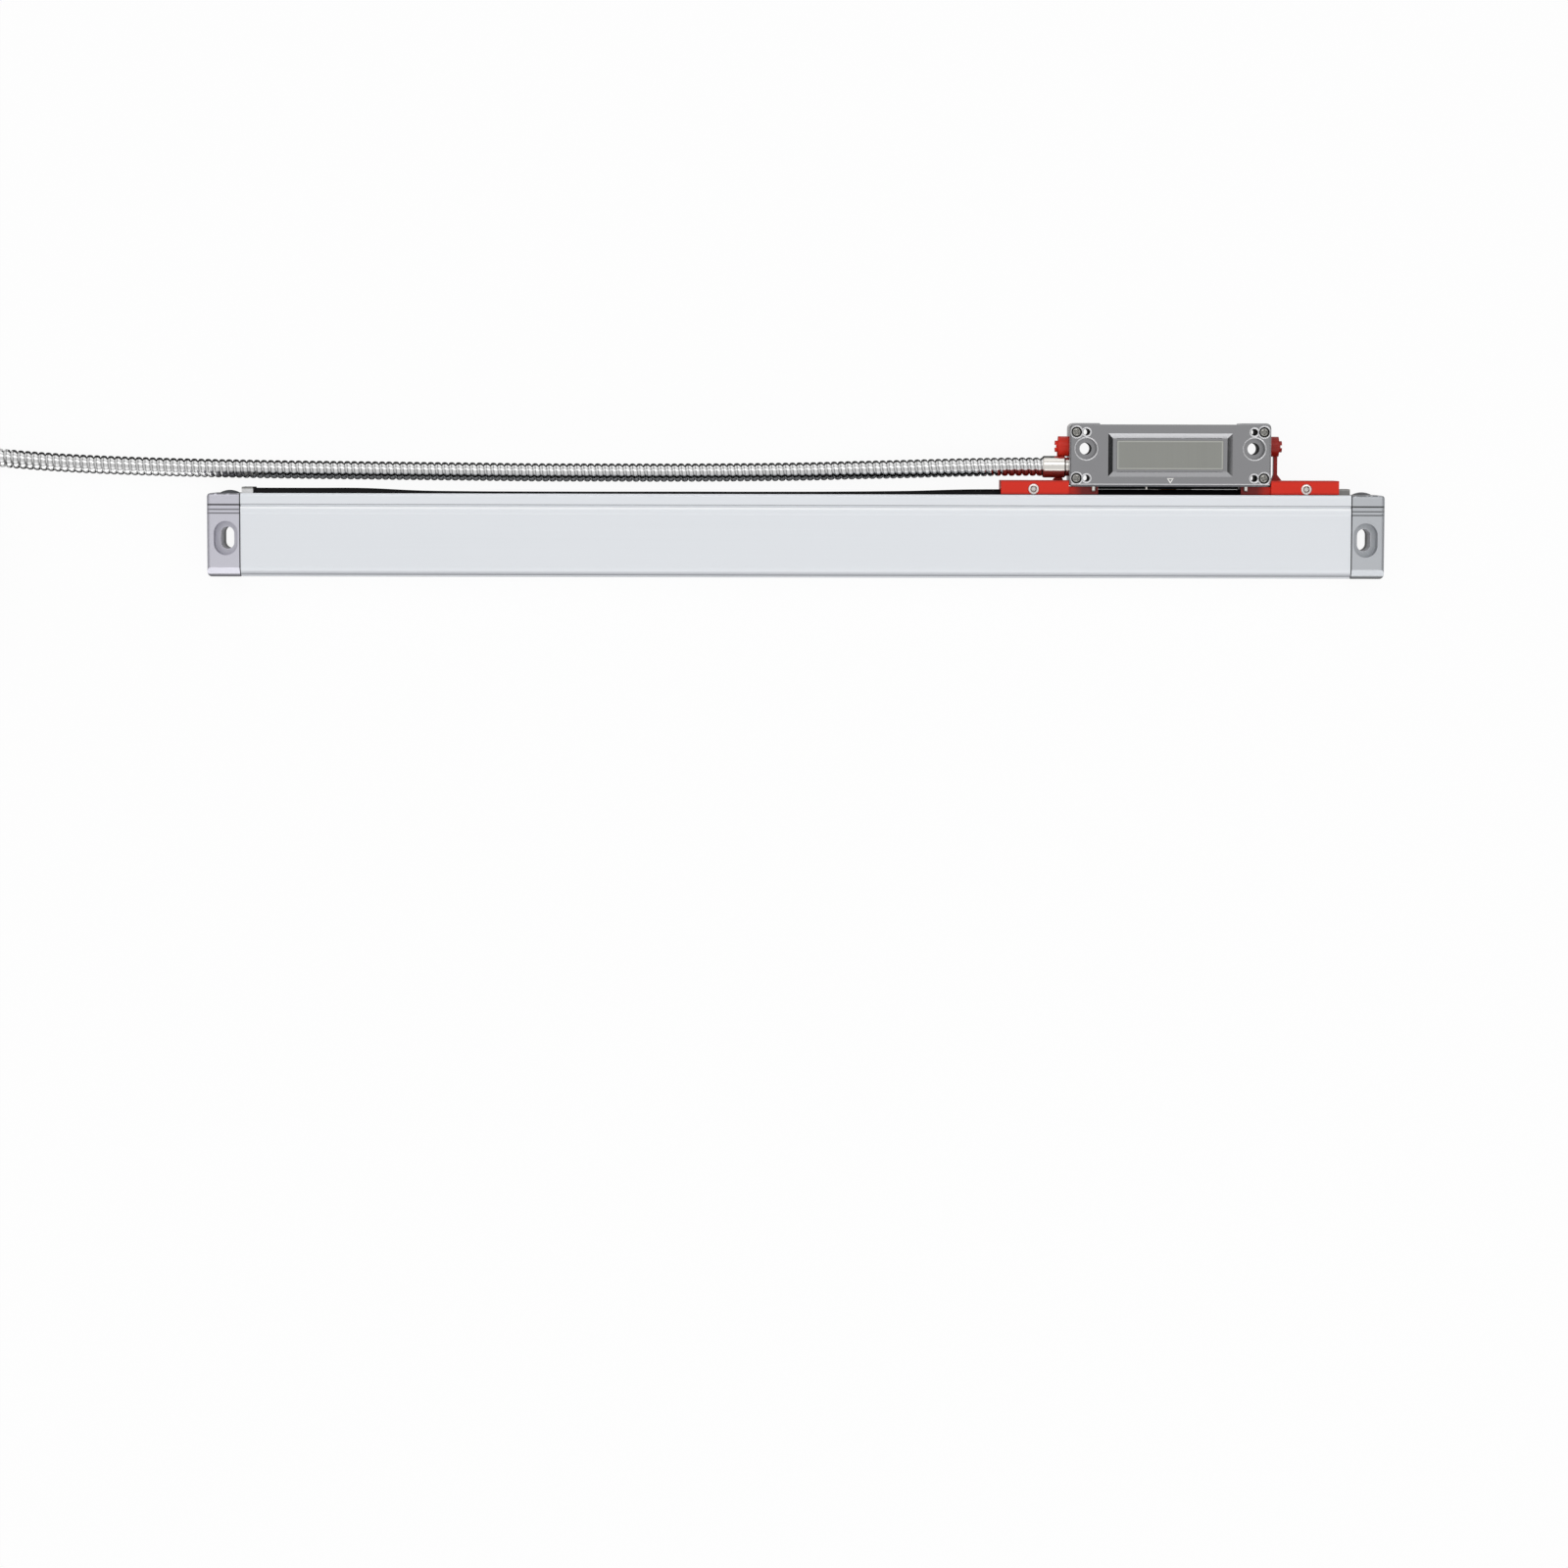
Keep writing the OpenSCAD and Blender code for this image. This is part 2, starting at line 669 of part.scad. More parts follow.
module end_cap_right() color([0.77, 0.77, 0.8]) end_cap();

module end_cap_screw() {
    seat_x = cap_out - cap_screw_head_h - 0.2;
    difference() {
        union() {
            rod_x(cap_screw_head_d, seat_x, seat_x + cap_screw_head_h, 0, 0);
            rod_x(cap_screw_d, seat_x - cap_screw_len, seat_x + eps, 0, 0);
        }
        for (a = [45, 135]) rotate([a, 0, 0])
            translate([seat_x + cap_screw_head_h - 0.9, -1.5, -0.35]) cube([past, 3, 0.7]);
    }
}

module end_cap_screws() color([0.7, 0.7, 0.68])
    both_ends() for (c = CHANNELS) translate([0, c[0], c[1]]) end_cap_screw();

// low domed plug of the air port
module port_plug() {
    rod_y(port_d, y_top - port_depth + 0.4, y_top + eps, port_x, lip_z);
    intersection() {
        translate([port_x, y_top + plug_rise - plug_r, lip_z]) sphere(plug_r, $fn = 96);
        rod_y(plug_d, y_top, y_top + plug_rise + past, port_x, lip_z);
    }
}

module port_plug_left() color([0.3, 0.31, 0.33]) mirror([1, 0, 0]) port_plug();

module port_plug_right() color([0.3, 0.31, 0.33]) port_plug();

// ==== reading head ===============================================================

module head_outline() {
    rounded_rect([-head_half, head_y0], [head_half, head_y1],
                 [head_r, head_r, head_r, head_r]);
    for (s = [-1, 1])
        translate([s * (head_half - shoulder_len / 2), 0])
            rounded_rect([-shoulder_len / 2, head_y1 - 2 * head_r],
                         [shoulder_len / 2, head_y1 + shoulder_h],
                         s < 0 ? [0, 0, 0.4, head_r] : [0, 0, head_r, 0.4]);
}

module four_holes(d, span, z0, z1) {
    for (sx = [-1, 1], sy = [-1, 1])
        rod_z(d, z0, z1, sx * span / 2, jack_y + sy * jack_span_y / 2);
}

module mount_holes(d, z0, z1) {
    for (s = [-1, 1]) rod_z(d, z0, z1, s * mount_span / 2, mount_y);
}

// cutter for the chamfer of a hole of diameter d whose edge is at height z
module chamfer_cut(d, z) {
    translate([0, 0, z - hole_chamfer])
        cylinder(d1 = d, d2 = d + 2 * (hole_chamfer + past), h = hole_chamfer + past);
}

module four_chamfers(d, span, z) {
    for (sx = [-1, 1], sy = [-1, 1])
        translate([sx * span / 2, jack_y + sy * jack_span_y / 2, 0]) chamfer_cut(d, z);
}

module head_base() color([0.52, 0.53, 0.55]) at_head() {
    difference() {
        union() {
            difference() {
                along_z(seat_z, base_z1) head_outline();
                along_z(pocket_floor, base_z1 + past)
                    rounded_rect([-pocket_half, pocket_y[0]], [pocket_half, pocket_y[1]],
                                 [pocket_r, pocket_r, pocket_r, pocket_r]);
            }
            // low bridge under the head
            difference() {
                box([-bridge_half, bridge_y0, bridge_z[0]],
                    [bridge_half, head_y0 + eps, bridge_z[1]]);
                box([bridge_notch_x - bridge_notch_w / 2, bridge_y0 - past, bridge_z[1] - 2],
                    [bridge_notch_x + bridge_notch_w / 2, head_y0, bridge_z[1] + past]);
            }
            // pad under the drive arm, and posts under the board
            box([-arm_half - 0.6, pocket_y[0] - eps, pocket_floor - eps],
                [arm_half + 0.6, arm_top_y + 0.5, blade_z0]);
            for (p = POSTS) rod_z(post_d, pocket_floor - eps, pcb_z, p[0], p[1]);
        }
        // slot for the arm and the flat cable
        box([-arm_half - arm_gap_z, bridge_y0 - past, blade_z0],
            [arm_half + arm_gap_z, pocket_y[0] + past, blade_z1 + flex_t + arm_gap_z]);
        for (s = [-1, 1]) rod_z(arm_screw_d, blade_z0 - 4, blade_z0 + past,
                                s * arm_screw_x, arm_screw_y);
        mount_holes(mount_hole_d, seat_z - past, base_z1 + past);
        four_holes(jack_d, jack_span_x, seat_z - past, base_z1 + past);
        four_holes(screw_hole_d, cover_screw_span,
                   cover_z1 - cover_screw_cb_h - cover_screw_len - 0.5, base_z1 + past);
        rod_x(ferrule_thread_d, -head_half - past, -head_half + thread_len, cable_y, cable_z);
        rod_x(core_d + 0.1, -head_half, -pocket_half + past, cable_y, cable_z);
        both_ends()
            rod_x(eye_pin_d, head_half - eye_pin_reach, head_half + past, eye_y, eye_z);
    }
}

module head_cover() color([0.5, 0.52, 0.54]) at_head() {
    top_y = head_y1 + shoulder_h;
    slope_x = panel_len / 2 - panel_slope;
    slope_y = panel_h / 2 - panel_slope;
    over = past * panel_slope / panel_d;   // the sloping cutter is wider above the face
    difference() {
        intersection() {
            along_z(cover_z0, cover_z1) head_outline();
            along_x(-head_half, head_half) polygon([
                [head_y0, cover_z0], [top_y, cover_z0],
                [top_y, cover_z1 - cover_chamfer], [top_y - cover_chamfer, cover_z1],
                [head_y0 + cover_low_chamfer, cover_z1],
                [head_y0, cover_z1 - cover_low_chamfer]
            ]);
            along_y(head_y0, top_y) polygon([
                [-head_half, cover_z0], [head_half, cover_z0],
                [head_half, cover_z1 - cover_chamfer],
                [head_half - cover_chamfer, cover_z1],
                [-head_half + cover_chamfer, cover_z1],
                [-head_half, cover_z1 - cover_chamfer]
            ]);
        }
        // sunk panel with sloping sides, cut where a wedge along X meets one along Y
        intersection() {
            along_x(-head_half, head_half) translate([panel_y, 0]) polygon([
                [-slope_y, cover_z1 - panel_d], [slope_y, cover_z1 - panel_d],
                [panel_h / 2 + over, cover_z1 + past], [-panel_h / 2 - over, cover_z1 + past]
            ]);
            along_y(head_y0, head_y1) polygon([
                [-slope_x, cover_z1 - panel_d], [slope_x, cover_z1 - panel_d],
                [panel_len / 2 + over, cover_z1 + past],
                [-panel_len / 2 - over, cover_z1 + past]
            ]);
        }
        mount_holes(mount_cb_d, cover_z0 - past, cover_z1 + past);
        four_holes(jack_d, jack_span_x, cover_z0 - past, cover_z1 + past);
        four_holes(screw_hole_d + 0.2, cover_screw_span, cover_z0 - past, cover_z1 + past);
        four_holes(cover_screw_cb_d, cover_screw_span, cover_z1 - cover_screw_cb_h,
                   cover_z1 + past);
        four_chamfers(cover_screw_cb_d, cover_screw_span, cover_z1);
        four_chamfers(jack_d, jack_span_x, cover_z1);
        for (s = [-1, 1]) translate([s * mount_span / 2, mount_y, 0])
            chamfer_cut(mount_cb_d, cover_z1);
        both_ends() rod_y(pin_d, head_y0 - past, head_y0 + pin_bore, pin_x, pin_z);
    }
}

module cover_gasket() color([0.12, 0.12, 0.12]) at_head() {
    difference() {
        along_z(base_z1, cover_z0)
            rounded_rect([-head_half + 0.4, head_y0 + 0.4], [head_half - 0.4, head_y1 - 0.4],
                         [head_r, head_r, head_r, head_r]);
        along_z(base_z1 - past, cover_z0 + past)
            rounded_rect([-pocket_half, pocket_y[0]], [pocket_half, pocket_y[1]],
                         [pocket_r, pocket_r, pocket_r, pocket_r]);
        mount_holes(mount_cb_d, base_z1 - past, cover_z0 + past);
        four_holes(jack_d + 0.4, jack_span_x, base_z1 - past, cover_z0 + past);
        four_holes(screw_hole_d + 0.4, cover_screw_span, base_z1 - past, cover_z0 + past);
    }
}

module cover_screws() color([0.62, 0.62, 0.6]) at_head()
    for (sx = [-1, 1], sy = [-1, 1])
        translate([sx * cover_screw_span / 2, jack_y + sy * jack_span_y / 2, 0])
            cross_screw(cover_screw_head_d, screw_hole_d,
                        cover_z1 - cover_screw_cb_h - cover_screw_len,
                        cover_z1 - cover_screw_cb_h, cover_z1 - 0.1);

module label_plate() color([0.62, 0.64, 0.6]) at_head()
    along_z(cover_z1 - panel_d, cover_z1 - panel_d + plate_t) {
        half = [panel_len / 2 - panel_slope - plate_inset,
                panel_h / 2 - panel_slope - plate_inset / 2];
        rounded_rect([-half[0], panel_y - half[1]], [half[0], panel_y + half[1]],
                     [0.5, 0.5, 0.5, 0.5]);
    }

module locating_pins() color([0.85, 0.85, 0.85]) at_head() both_ends() {
    tip_y = head_y0 - pin_drop;
    rod_y(pin_d, tip_y + 0.3, head_y0 + pin_bore, pin_x, pin_z);
    translate([pin_x, tip_y, pin_z]) rotate([-90, 0, 0])
        cylinder(d1 = pin_d - 0.6, d2 = pin_d, h = 0.3 + eps);
}

module head_pcb() color([0.1, 0.4, 0.25]) at_head() {
    top = pcb_z + pcb_t;
    difference() {
        box([-pcb_half, pcb_y[0], pcb_z], [pcb_half, pcb_y[1], top]);
        for (p = POSTS) rod_z(post_d / 2, pcb_z - past, top + past, p[0], p[1]);
    }
    for (c = CHIPS) box([c[0], pcb_y[0] + c[1], top - eps],
                        [c[0] + c[2], pcb_y[0] + c[1] + c[3], top + c[4]]);
}

module drive_arm() color([0.7, 0.7, 0.72]) at_head() {
    difference() {
        along_z(blade_z0, blade_z1) {
            rounded_rect([-arm_half, arm_shoulder_y], [arm_half, arm_top_y], [2, 2, 1, 1]);
            rect([-neck_half, ball_y + ball_r / 2], [neck_half, arm_shoulder_y + past]);
        }
        for (s = [-1, 1]) rod_z(arm_screw_d + 0.1, blade_z0 - past, blade_z1 + past,
                                s * arm_screw_x, arm_screw_y);
    }
    translate([0, ball_y, lip_z]) sphere(ball_r);
}

module arm_screws() color([0.62, 0.62, 0.6]) at_head()
    for (s = [-1, 1]) translate([s * arm_screw_x, arm_screw_y, 0])
        cross_screw(3.6, arm_screw_d, blade_z0 - 3.8, blade_z1, blade_z1 + 1.2);

// leaf springs on the arm that press the carriage onto the glass
module coupling_springs() color([0.8, 0.78, 0.7]) at_head() both_ends()
    along_x(spring_x[0], spring_x[1]) polygon([
        [arm_shoulder_y + 1.2, blade_z1], [arm_shoulder_y + 1.2, blade_z1 + spring_t],
        [flex_step_y + 0.5, blade_z1 + spring_t], [flex_step_y + 0.5, plate_z1 + 0.4],
        [carriage_y[1] - 2.4, plate_z1 + 0.2], [carriage_y[1] - 2.4, plate_z1],
        [carriage_y[1] - 1.8, plate_z1], [flex_step_y + 0.3, plate_z1 + 0.2],
        [flex_step_y + 0.3, blade_z1]
    ]);

module carriage() color([0.6, 0.62, 0.64]) at_head() {
    difference() {
        union() {
            // front plate over the glass face
            along_z(plate_z0, plate_z1)
                rounded_rect([-carriage_half, carriage_y[0]], [carriage_half, carriage_y[1]],
                             [2, 2, 2, 2]);
            for (b = FACE_BEARINGS, s = [-1, 1])
                translate([b[0], b[1] + s * (lug_in + lug_out) / 2, 0])
                    box([-lug_half, -(lug_out - lug_in) / 2, plate_z1 - eps],
                        [lug_half, (lug_out - lug_in) / 2, lug_z1]);
            // rear cheek and the two blocks that tie it to the plate over the glass edge
            along_z(cheek_z[0], cheek_z[1])
                rect([-tie_x[1], cheek_y[0]], [tie_x[1], cheek_y[1]]);
            both_ends() box([tie_x[0], tie_y0, cheek_z[0]], [tie_x[1], cheek_y[1], plate_z1]);
        }
        for (b = FACE_BEARINGS) translate([b[0], b[1], 0]) {
            box([-bearing_r - 0.4, -lug_in, plate_z0 - past],
                [bearing_r + 0.4, lug_in, lug_z1 + past]);
            rod_y(axle_d, -lug_out - past, lug_out + past, 0, face_axle_z);
        }
        for (x = EDGE_BEARINGS) rod_z(axle_d, plate_z0 - past, plate_z1 + past, x, edge_axle_y);
        box([-window_half[0], track_y - window_half[1], plate_z0 - past],
            [window_half[0], track_y + window_half[1], plate_z1 + past]);
        rod_z(2 * ball_r + 0.1, plate_z0 - past, plate_z1 + past, 0, ball_y);
        rod_z(2 * lens_r + 0.1, cheek_z[0] - past, cheek_z[1] + past, 0, track_y);
    }
}

module bearing_axles() color([0.75, 0.75, 0.75]) at_head() {
    for (b = FACE_BEARINGS) rod_y(axle_d, b[1] - lug_out, b[1] + lug_out, b[0], face_axle_z);
    for (x = EDGE_BEARINGS) {
        rod_z(axle_d, edge_mid_z - bearing_w / 2 - 0.7, plate_z1, x, edge_axle_y);
        rod_z(2 * collar_r, edge_mid_z - bearing_w / 2 - 0.7,
              edge_mid_z - bearing_w / 2 - 0.2, x, edge_axle_y);
        rod_z(2 * collar_r, edge_mid_z + bearing_w / 2 + 0.2, plate_z0, x, edge_axle_y);
    }
}

module led_board() color([0.1, 0.35, 0.2]) at_head() {
    box([-7, track_y - 4.5, cheek_z[0] - board_t], [7, track_y + 4.5, cheek_z[0]]);
    rod_z(2 * lens_r, cheek_z[0] - eps, cheek_z[1] + 0.2, 0, track_y);
}

module detector_board() color([0.1, 0.35, 0.2]) at_head() {
    box([-9, detector_y[0], detector_z[0]], [9, detector_y[1], detector_z[1]]);
    box([-5, track_y - 2.4, glass_z1 + grating_gap + grating_t],
        [5, track_y + 2.4, detector_z[0] + eps]);
}

module index_grating() color([0.75, 0.9, 0.88, 0.6]) at_head()
    box([-window_half[0], track_y - window_half[1], glass_z1 + grating_gap],
        [window_half[0], track_y + window_half[1], glass_z1 + grating_gap + grating_t]);

// flat cable: along the arm, up the edge of the carriage plate, onto the detector board
module flex_cable() color([0.85, 0.5, 0.15]) at_head()
    along_x(-flex_half, flex_half) polygon([
        [pcb_y[0] + 1, blade_z1], [pcb_y[0] + 1, blade_z1 + flex_t],
        [flex_step_y + flex_t, blade_z1 + flex_t],
        [flex_step_y + flex_t, detector_z[1] + flex_t],
        [detector_y[1] - 3, detector_z[1] + flex_t], [detector_y[1] - 3, detector_z[1]],
        [flex_step_y, detector_z[1]], [flex_step_y, blade_z1]
    ]);

// ==== transport brackets =========================================================

module bracket() {
    difference() {
        union() {
            box([foot_x0, foot_y0, foot_z[0]], [foot_reach, foot_y1, foot_z[1]]);
            // tongue under the head
            box([foot_inner, foot_y0, foot_z[0]],
                [foot_x0 + eps, head_y0 - 0.05, tongue_z1]);
            // spring arm with a flared root
            along_z(arm_z[0], arm_z[1]) polygon([
                [head_half + arm_gap - 0.8, foot_y1 - eps],
                [head_half + arm_gap, foot_y1 + 2.2], [head_half + arm_gap, eye_y],
                [head_half + arm_gap + arm_t, eye_y],
                [head_half + arm_gap + arm_t, foot_y1 + 2.2],
                [head_half + arm_gap + arm_t + 1.7, foot_y1 - eps]
            ]);
            rod_x(eye_d, head_half + eps, head_half + arm_gap + arm_t, eye_y, eye_z);
        }
        box([foot_inner - past, foot_y0 - past, channel_z[0]],
            [foot_reach + past, channel_y1, channel_z[1]]);
        rod_z(foot_screw_d, channel_z[1] - past, foot_z[1] + past, foot_screw_x, foot_screw_y);
        rod_z(foot_screw_head_d + 0.2, foot_z[1] - foot_screw_head_h - 0.1, foot_z[1] + past,
              foot_screw_x, foot_screw_y);
        rod_x(eye_pin_d + 0.1, head_half - past, foot_reach, eye_y, eye_z);
    }
}

module bracket_left() color([0.86, 0.22, 0.14]) at_head() mirror([1, 0, 0]) bracket();

module bracket_right() color([0.86, 0.22, 0.14]) at_head() bracket();

module bracket_pin() {
    x1 = head_half + arm_gap + arm_t;
    difference() {
        union() {
            rod_x(eye_pin_head_d, x1, x1 + eye_pin_head_h, eye_y, eye_z);
            rod_x(eye_pin_d, head_half - eye_pin_reach, x1 + eps, eye_y, eye_z);
        }
        box([x1 + eye_pin_head_h - 0.6, eye_y - 0.5, eye_z - eye_pin_head_d],
            [x1 + eye_pin_head_h + past, eye_y + 0.5, eye_z + eye_pin_head_d]);
    }
}

module bracket_pin_left() color([0.86, 0.22, 0.14]) at_head() mirror([1, 0, 0]) bracket_pin();

module bracket_pin_right() color([0.86, 0.22, 0.14]) at_head() bracket_pin();

module bracket_screws() color([0.75, 0.72, 0.6]) at_head()
    for (s = [-1, 1]) translate([s * foot_screw_x, foot_screw_y, 0])
        cross_screw(foot_screw_head_d, foot_screw_d, channel_z[1] + 0.1,
                    foot_z[1] - foot_screw_head_h - 0.1, foot_z[1] - 0.1);

// ==== cable ======================================================================

module ferrule_profile() {
    r = ferrule_d / 2;
    inner = core_d / 2 + 0.05;
    bore_r = (hose_d + hose_fit) / 2;
    polygon([
        [bore_r, 0], [r - 0.3, 0], [r, 0.5], [r, ferrule_len - 1.6],
        [ferrule_neck_d / 2, ferrule_len - 1], [ferrule_neck_d / 2, ferrule_len],
        [ferrule_thread_d / 2, ferrule_len], [ferrule_thread_d / 2, ferrule_len + thread_len],
        [inner, ferrule_len + thread_len], [inner, ferrule_bore], [bore_r, ferrule_bore]
    ]);
}

module cable_ferrule() color([0.8, 0.79, 0.77]) at_head()
    translate([-head_half - ferrule_len, cable_y, cable_z])
        rotate([0, 90, 0]) rotate_extrude() ferrule_profile();

module cable_core() color([0.12, 0.12, 0.13]) at_head()
    rod_x(core_d, -head_half - ferrule_len + ferrule_bore, -pocket_half + 3, cable_y, cable_z);

function unit(v) = v / norm(v);

// one smooth curve through the points of a route, as rings of points at about even steps
function spline(p, i, t) =
    let (n = len(p) - 1, a = p[max(i - 1, 0)], b = p[i], c = p[i + 1], d = p[min(i + 2, n)])
    0.5 * (2 * b + (c - a) * t + (2 * a - 5 * b + 4 * c - d) * t * t
           + (3 * b - a - 3 * c + d) * t * t * t);

function route_points(p, per) = [
    for (i = [0 : len(p) - 2], k = [0 : per - 1]) spline(p, i, k / per),
    p[len(p) - 1]
];

function heading(q, i) = unit(q[min(i + 1, len(q) - 1)] - q[max(i - 1, 0)]);

function ring(q, i, d, sides) =
    let (h = heading(q, i), a = unit(cross([0, 0, 1], h)), b = cross(h, a))
    [for (k = [0 : sides - 1])
        q[i] + d / 2 * (cos(360 * k / sides) * a + sin(360 * k / sides) * b)];

// closed tube of round section along a route, as one polyhedron
module swept_tube(route, d, sides, per) {
    q = route_points(route, per);
    rings = len(q);
    points = [for (i = [0 : rings - 1]) each ring(q, i, d, sides)];
    walls = [for (i = [0 : rings - 2], k = [0 : sides - 1])
        let (n = (k + 1) % sides)
        [i * sides + k, i * sides + n, (i + 1) * sides + n, (i + 1) * sides + k]];
    caps = [[for (k = [sides - 1 : -1 : 0]) k],
            [for (k = [0 : sides - 1]) (rings - 1) * sides + k]];
    polyhedron(points, [for (f = concat(walls, caps)) [for (k = [len(f) - 1 : -1 : 0]) f[k]]]);
}

module cable_hose() color([0.66, 0.66, 0.66]) swept_tube(ROUTE, hose_d, 10, 1);

module hose_lead() color([0.66, 0.66, 0.66]) swept_tube(LEAD, hose_d, 10, 2);

// outer shape of the coil: three turns wide below, two turns wide above
module hose_coil() color([0.66, 0.66, 0.66])
    translate([coil_c[0], coil_c[1], 0]) rotate_extrude($fn = 72) polygon([
        [coil_in, coil_z0], [coil_out, coil_z0], [coil_out, coil_z4],
        [coil_step, coil_z4], [coil_step, coil_z2], [coil_in, coil_z2]
    ]);

module coil_ties() color([0.1, 0.1, 0.1])
    translate([coil_c[0], coil_c[1], 0]) for (a = TIE_ANGLES)
        rotate([0, 0, a]) rotate_extrude(angle = tie_sweep) difference() {
            polygon([
                [coil_in - tie_t, coil_z0 - tie_t], [coil_out + tie_t, coil_z0 - tie_t],
                [coil_out + tie_t, coil_z4 + tie_t], [coil_step - tie_t, coil_z4 + tie_t],
                [coil_in - tie_t, coil_z2]
            ]);
            polygon([
                [coil_in, coil_z0], [coil_out, coil_z0], [coil_out, coil_z4],
                [coil_step, coil_z4], [coil_in, coil_z2]
            ]);
        }

// ==== connector ==================================================================

module at_connector() {
    translate(connector_at) rotate([0, 0, 180]) children();
}

module hood_outline() {
    polygon([
        [-hood_neck, 0], [hood_neck, 0], [hood_neck, hood_wing_y - 0.4],
        [hood_half, hood_wing_y], [hood_half, hood_len], [-hood_half, hood_len],
        [-hood_half, hood_wing_y], [-hood_neck, hood_wing_y - 0.4]
    ]);
}

// one half of the hood; the other is its mirror image
module hood_half_shell() {
    difference() {
        along_z(-hood_h, 0) hood_outline();
        box([-hood_neck + hood_wall, hood_rear_wall, -hood_h + hood_wall],
            [hood_neck - hood_wall, hood_len + past, past]);
        rod_y(collar_d, -past, hood_rear_wall + 0.5, 0, 0);
        for (s = [-1, 1]) {
            rod_y(jackscrew_d + 0.1, hood_wing_y - past, hood_len + past,
                  s * jackscrew_x, 0);
            rod_z(hood_screw_d, -hood_h - past, past, s * hood_screw[0], hood_screw[1]);
        }
    }
}

module connector_hood_lower() color([0.55, 0.56, 0.57]) at_connector() hood_half_shell();

module connector_hood_upper() color([0.55, 0.56, 0.57]) at_connector()
    mirror([0, 0, 1]) hood_half_shell();

module hood_screws() color([0.7, 0.7, 0.7]) at_connector()
    for (s = [-1, 1]) translate([s * hood_screw[0], hood_screw[1], 0])
        cross_screw(hood_screw_head_d, hood_screw_d, -hood_h + 0.5, hood_h, hood_h + 0.6);

// D outline of the mating shell, wider on the row of five
module d_outline(grow) {
    polygon([
        [-shell_half[0] - grow, shell_half[2] + grow],
        [-shell_half[1] - grow, -shell_half[2] - grow],
        [shell_half[1] + grow, -shell_half[2] - grow],
        [shell_half[0] + grow, shell_half[2] + grow]
    ]);
}

module connector_face() color([0.8, 0.8, 0.78]) at_connector() {
    y0 = hood_len;
    difference() {
        union() {
            box([-hood_half, y0, -flange_half_h],
                [hood_half, y0 + flange_t, flange_half_h]);
            along_y(y0, y0 + flange_t + shell_len) d_outline(0);
        }
        along_y(y0 - past, y0 + flange_t + shell_len + past) d_outline(-shell_t);
        for (s = [-1, 1]) rod_y(jackscrew_d + 0.3, y0 - past, y0 + 2, s * jackscrew_x, 0);
    }
}

module contact_places() {
    for (row = pin_rows, k = [0 : row[2] - 1])
        translate([(row[0] + k) * pin_pitch, 0, row[1]]) children();
}

module connector_insert() color([0.08, 0.08, 0.08]) at_connector()
    difference() {
        along_y(hood_len - 4, hood_len + flange_t + 0.4) d_outline(-shell_t);
        contact_places() rod_y(contact_d, 0, hood_len + 2 * shell_len, 0, 0);
    }

module contact_pins() color([0.85, 0.7, 0.35]) at_connector()
    contact_places() rod_y(contact_d, hood_len - 6, hood_len + flange_t + 5.2, 0, 0);

module hose_collar() color([0.78, 0.78, 0.76]) at_connector()
    rotate([-90, 0, 0]) rotate_extrude() polygon([
        [hose_d / 2 + hose_fit / 2, -collar_out], [collar_d / 2 - 0.4, -collar_out],
        [collar_d / 2, -collar_out + 0.6], [collar_d / 2, hood_rear_wall + 0.5],
        [core_d / 2, hood_rear_wall + 0.5], [core_d / 2, 0], [hose_d / 2 + hose_fit / 2, 0]
    ]);

module thumb_screw(s) {
    head = hood_wing_y - 0.5;
    at_connector() translate([s * jackscrew_x, 0, 0]) difference() {
        union() {
            rod_y(jackscrew_head_d, head - 11, head, 0, 0);
            rod_y(jackscrew_d, head - eps, jackscrew_len, 0, 0);
        }
        box([-0.5, head - 11 - past, -jackscrew_head_d], [0.5, head - 10, jackscrew_head_d]);
    }
}

module thumb_screw_1() color([0.75, 0.75, 0.74]) thumb_screw(-1);

module thumb_screw_2() color([0.75, 0.75, 0.74]) thumb_screw(1);

// ==== guide bearings =============================================================

module bearing_ring() {
    difference() {
        cylinder(d = bearing_d, h = bearing_w, center = true);
        cylinder(r = axle_r + run_gap, h = bearing_w + past, center = true);
        for (s = [-1, 1]) translate([0, 0, s * bearing_w / 2]) difference() {
            cylinder(d = bearing_d - 0.9, h = 0.3, center = true);
            cylinder(d = axle_d + 1.3, h = 0.4, center = true);
        }
    }
}

module face_bearing(i) {
    b = FACE_BEARINGS[i];
    color([0.8, 0.8, 0.8]) at_head()
        translate([b[0], b[1], face_axle_z]) rotate([90, 0, 0]) bearing_ring();
}

module edge_bearing(i) color([0.8, 0.8, 0.8]) at_head()
    translate([EDGE_BEARINGS[i], edge_axle_y, edge_mid_z]) bearing_ring();

module face_bearing_1() face_bearing(0);
module face_bearing_2() face_bearing(1);
module face_bearing_3() face_bearing(2);
module edge_bearing_1() edge_bearing(0);
module edge_bearing_2() edge_bearing(1);

// ==== nodes ======================================================================

housing_extrusion();
glass_scale();
glass_bond();
lip_seal_front();
lip_seal_rear();
lip_clamp_left();
lip_clamp_right();
end_gasket_left();
end_gasket_right();
end_cap_left();
end_cap_right();
end_cap_screws();
port_plug_left();
port_plug_right();
head_base();
head_cover();
cover_gasket();
cover_screws();
label_plate();
locating_pins();
head_pcb();
drive_arm();
arm_screws();
coupling_springs();
carriage();
bearing_axles();
led_board();
detector_board();
index_grating();
flex_cable();
bracket_left();
bracket_right();
bracket_pin_left();
bracket_pin_right();
bracket_screws();
cable_ferrule();
cable_core();
cable_hose();
hose_lead();
hose_coil();
coil_ties();
connector_hood_lower();
connector_hood_upper();
hood_screws();
connector_face();
connector_insert();
contact_pins();
hose_collar();
face_bearing_1();
face_bearing_2();
face_bearing_3();
edge_bearing_1();
edge_bearing_2();
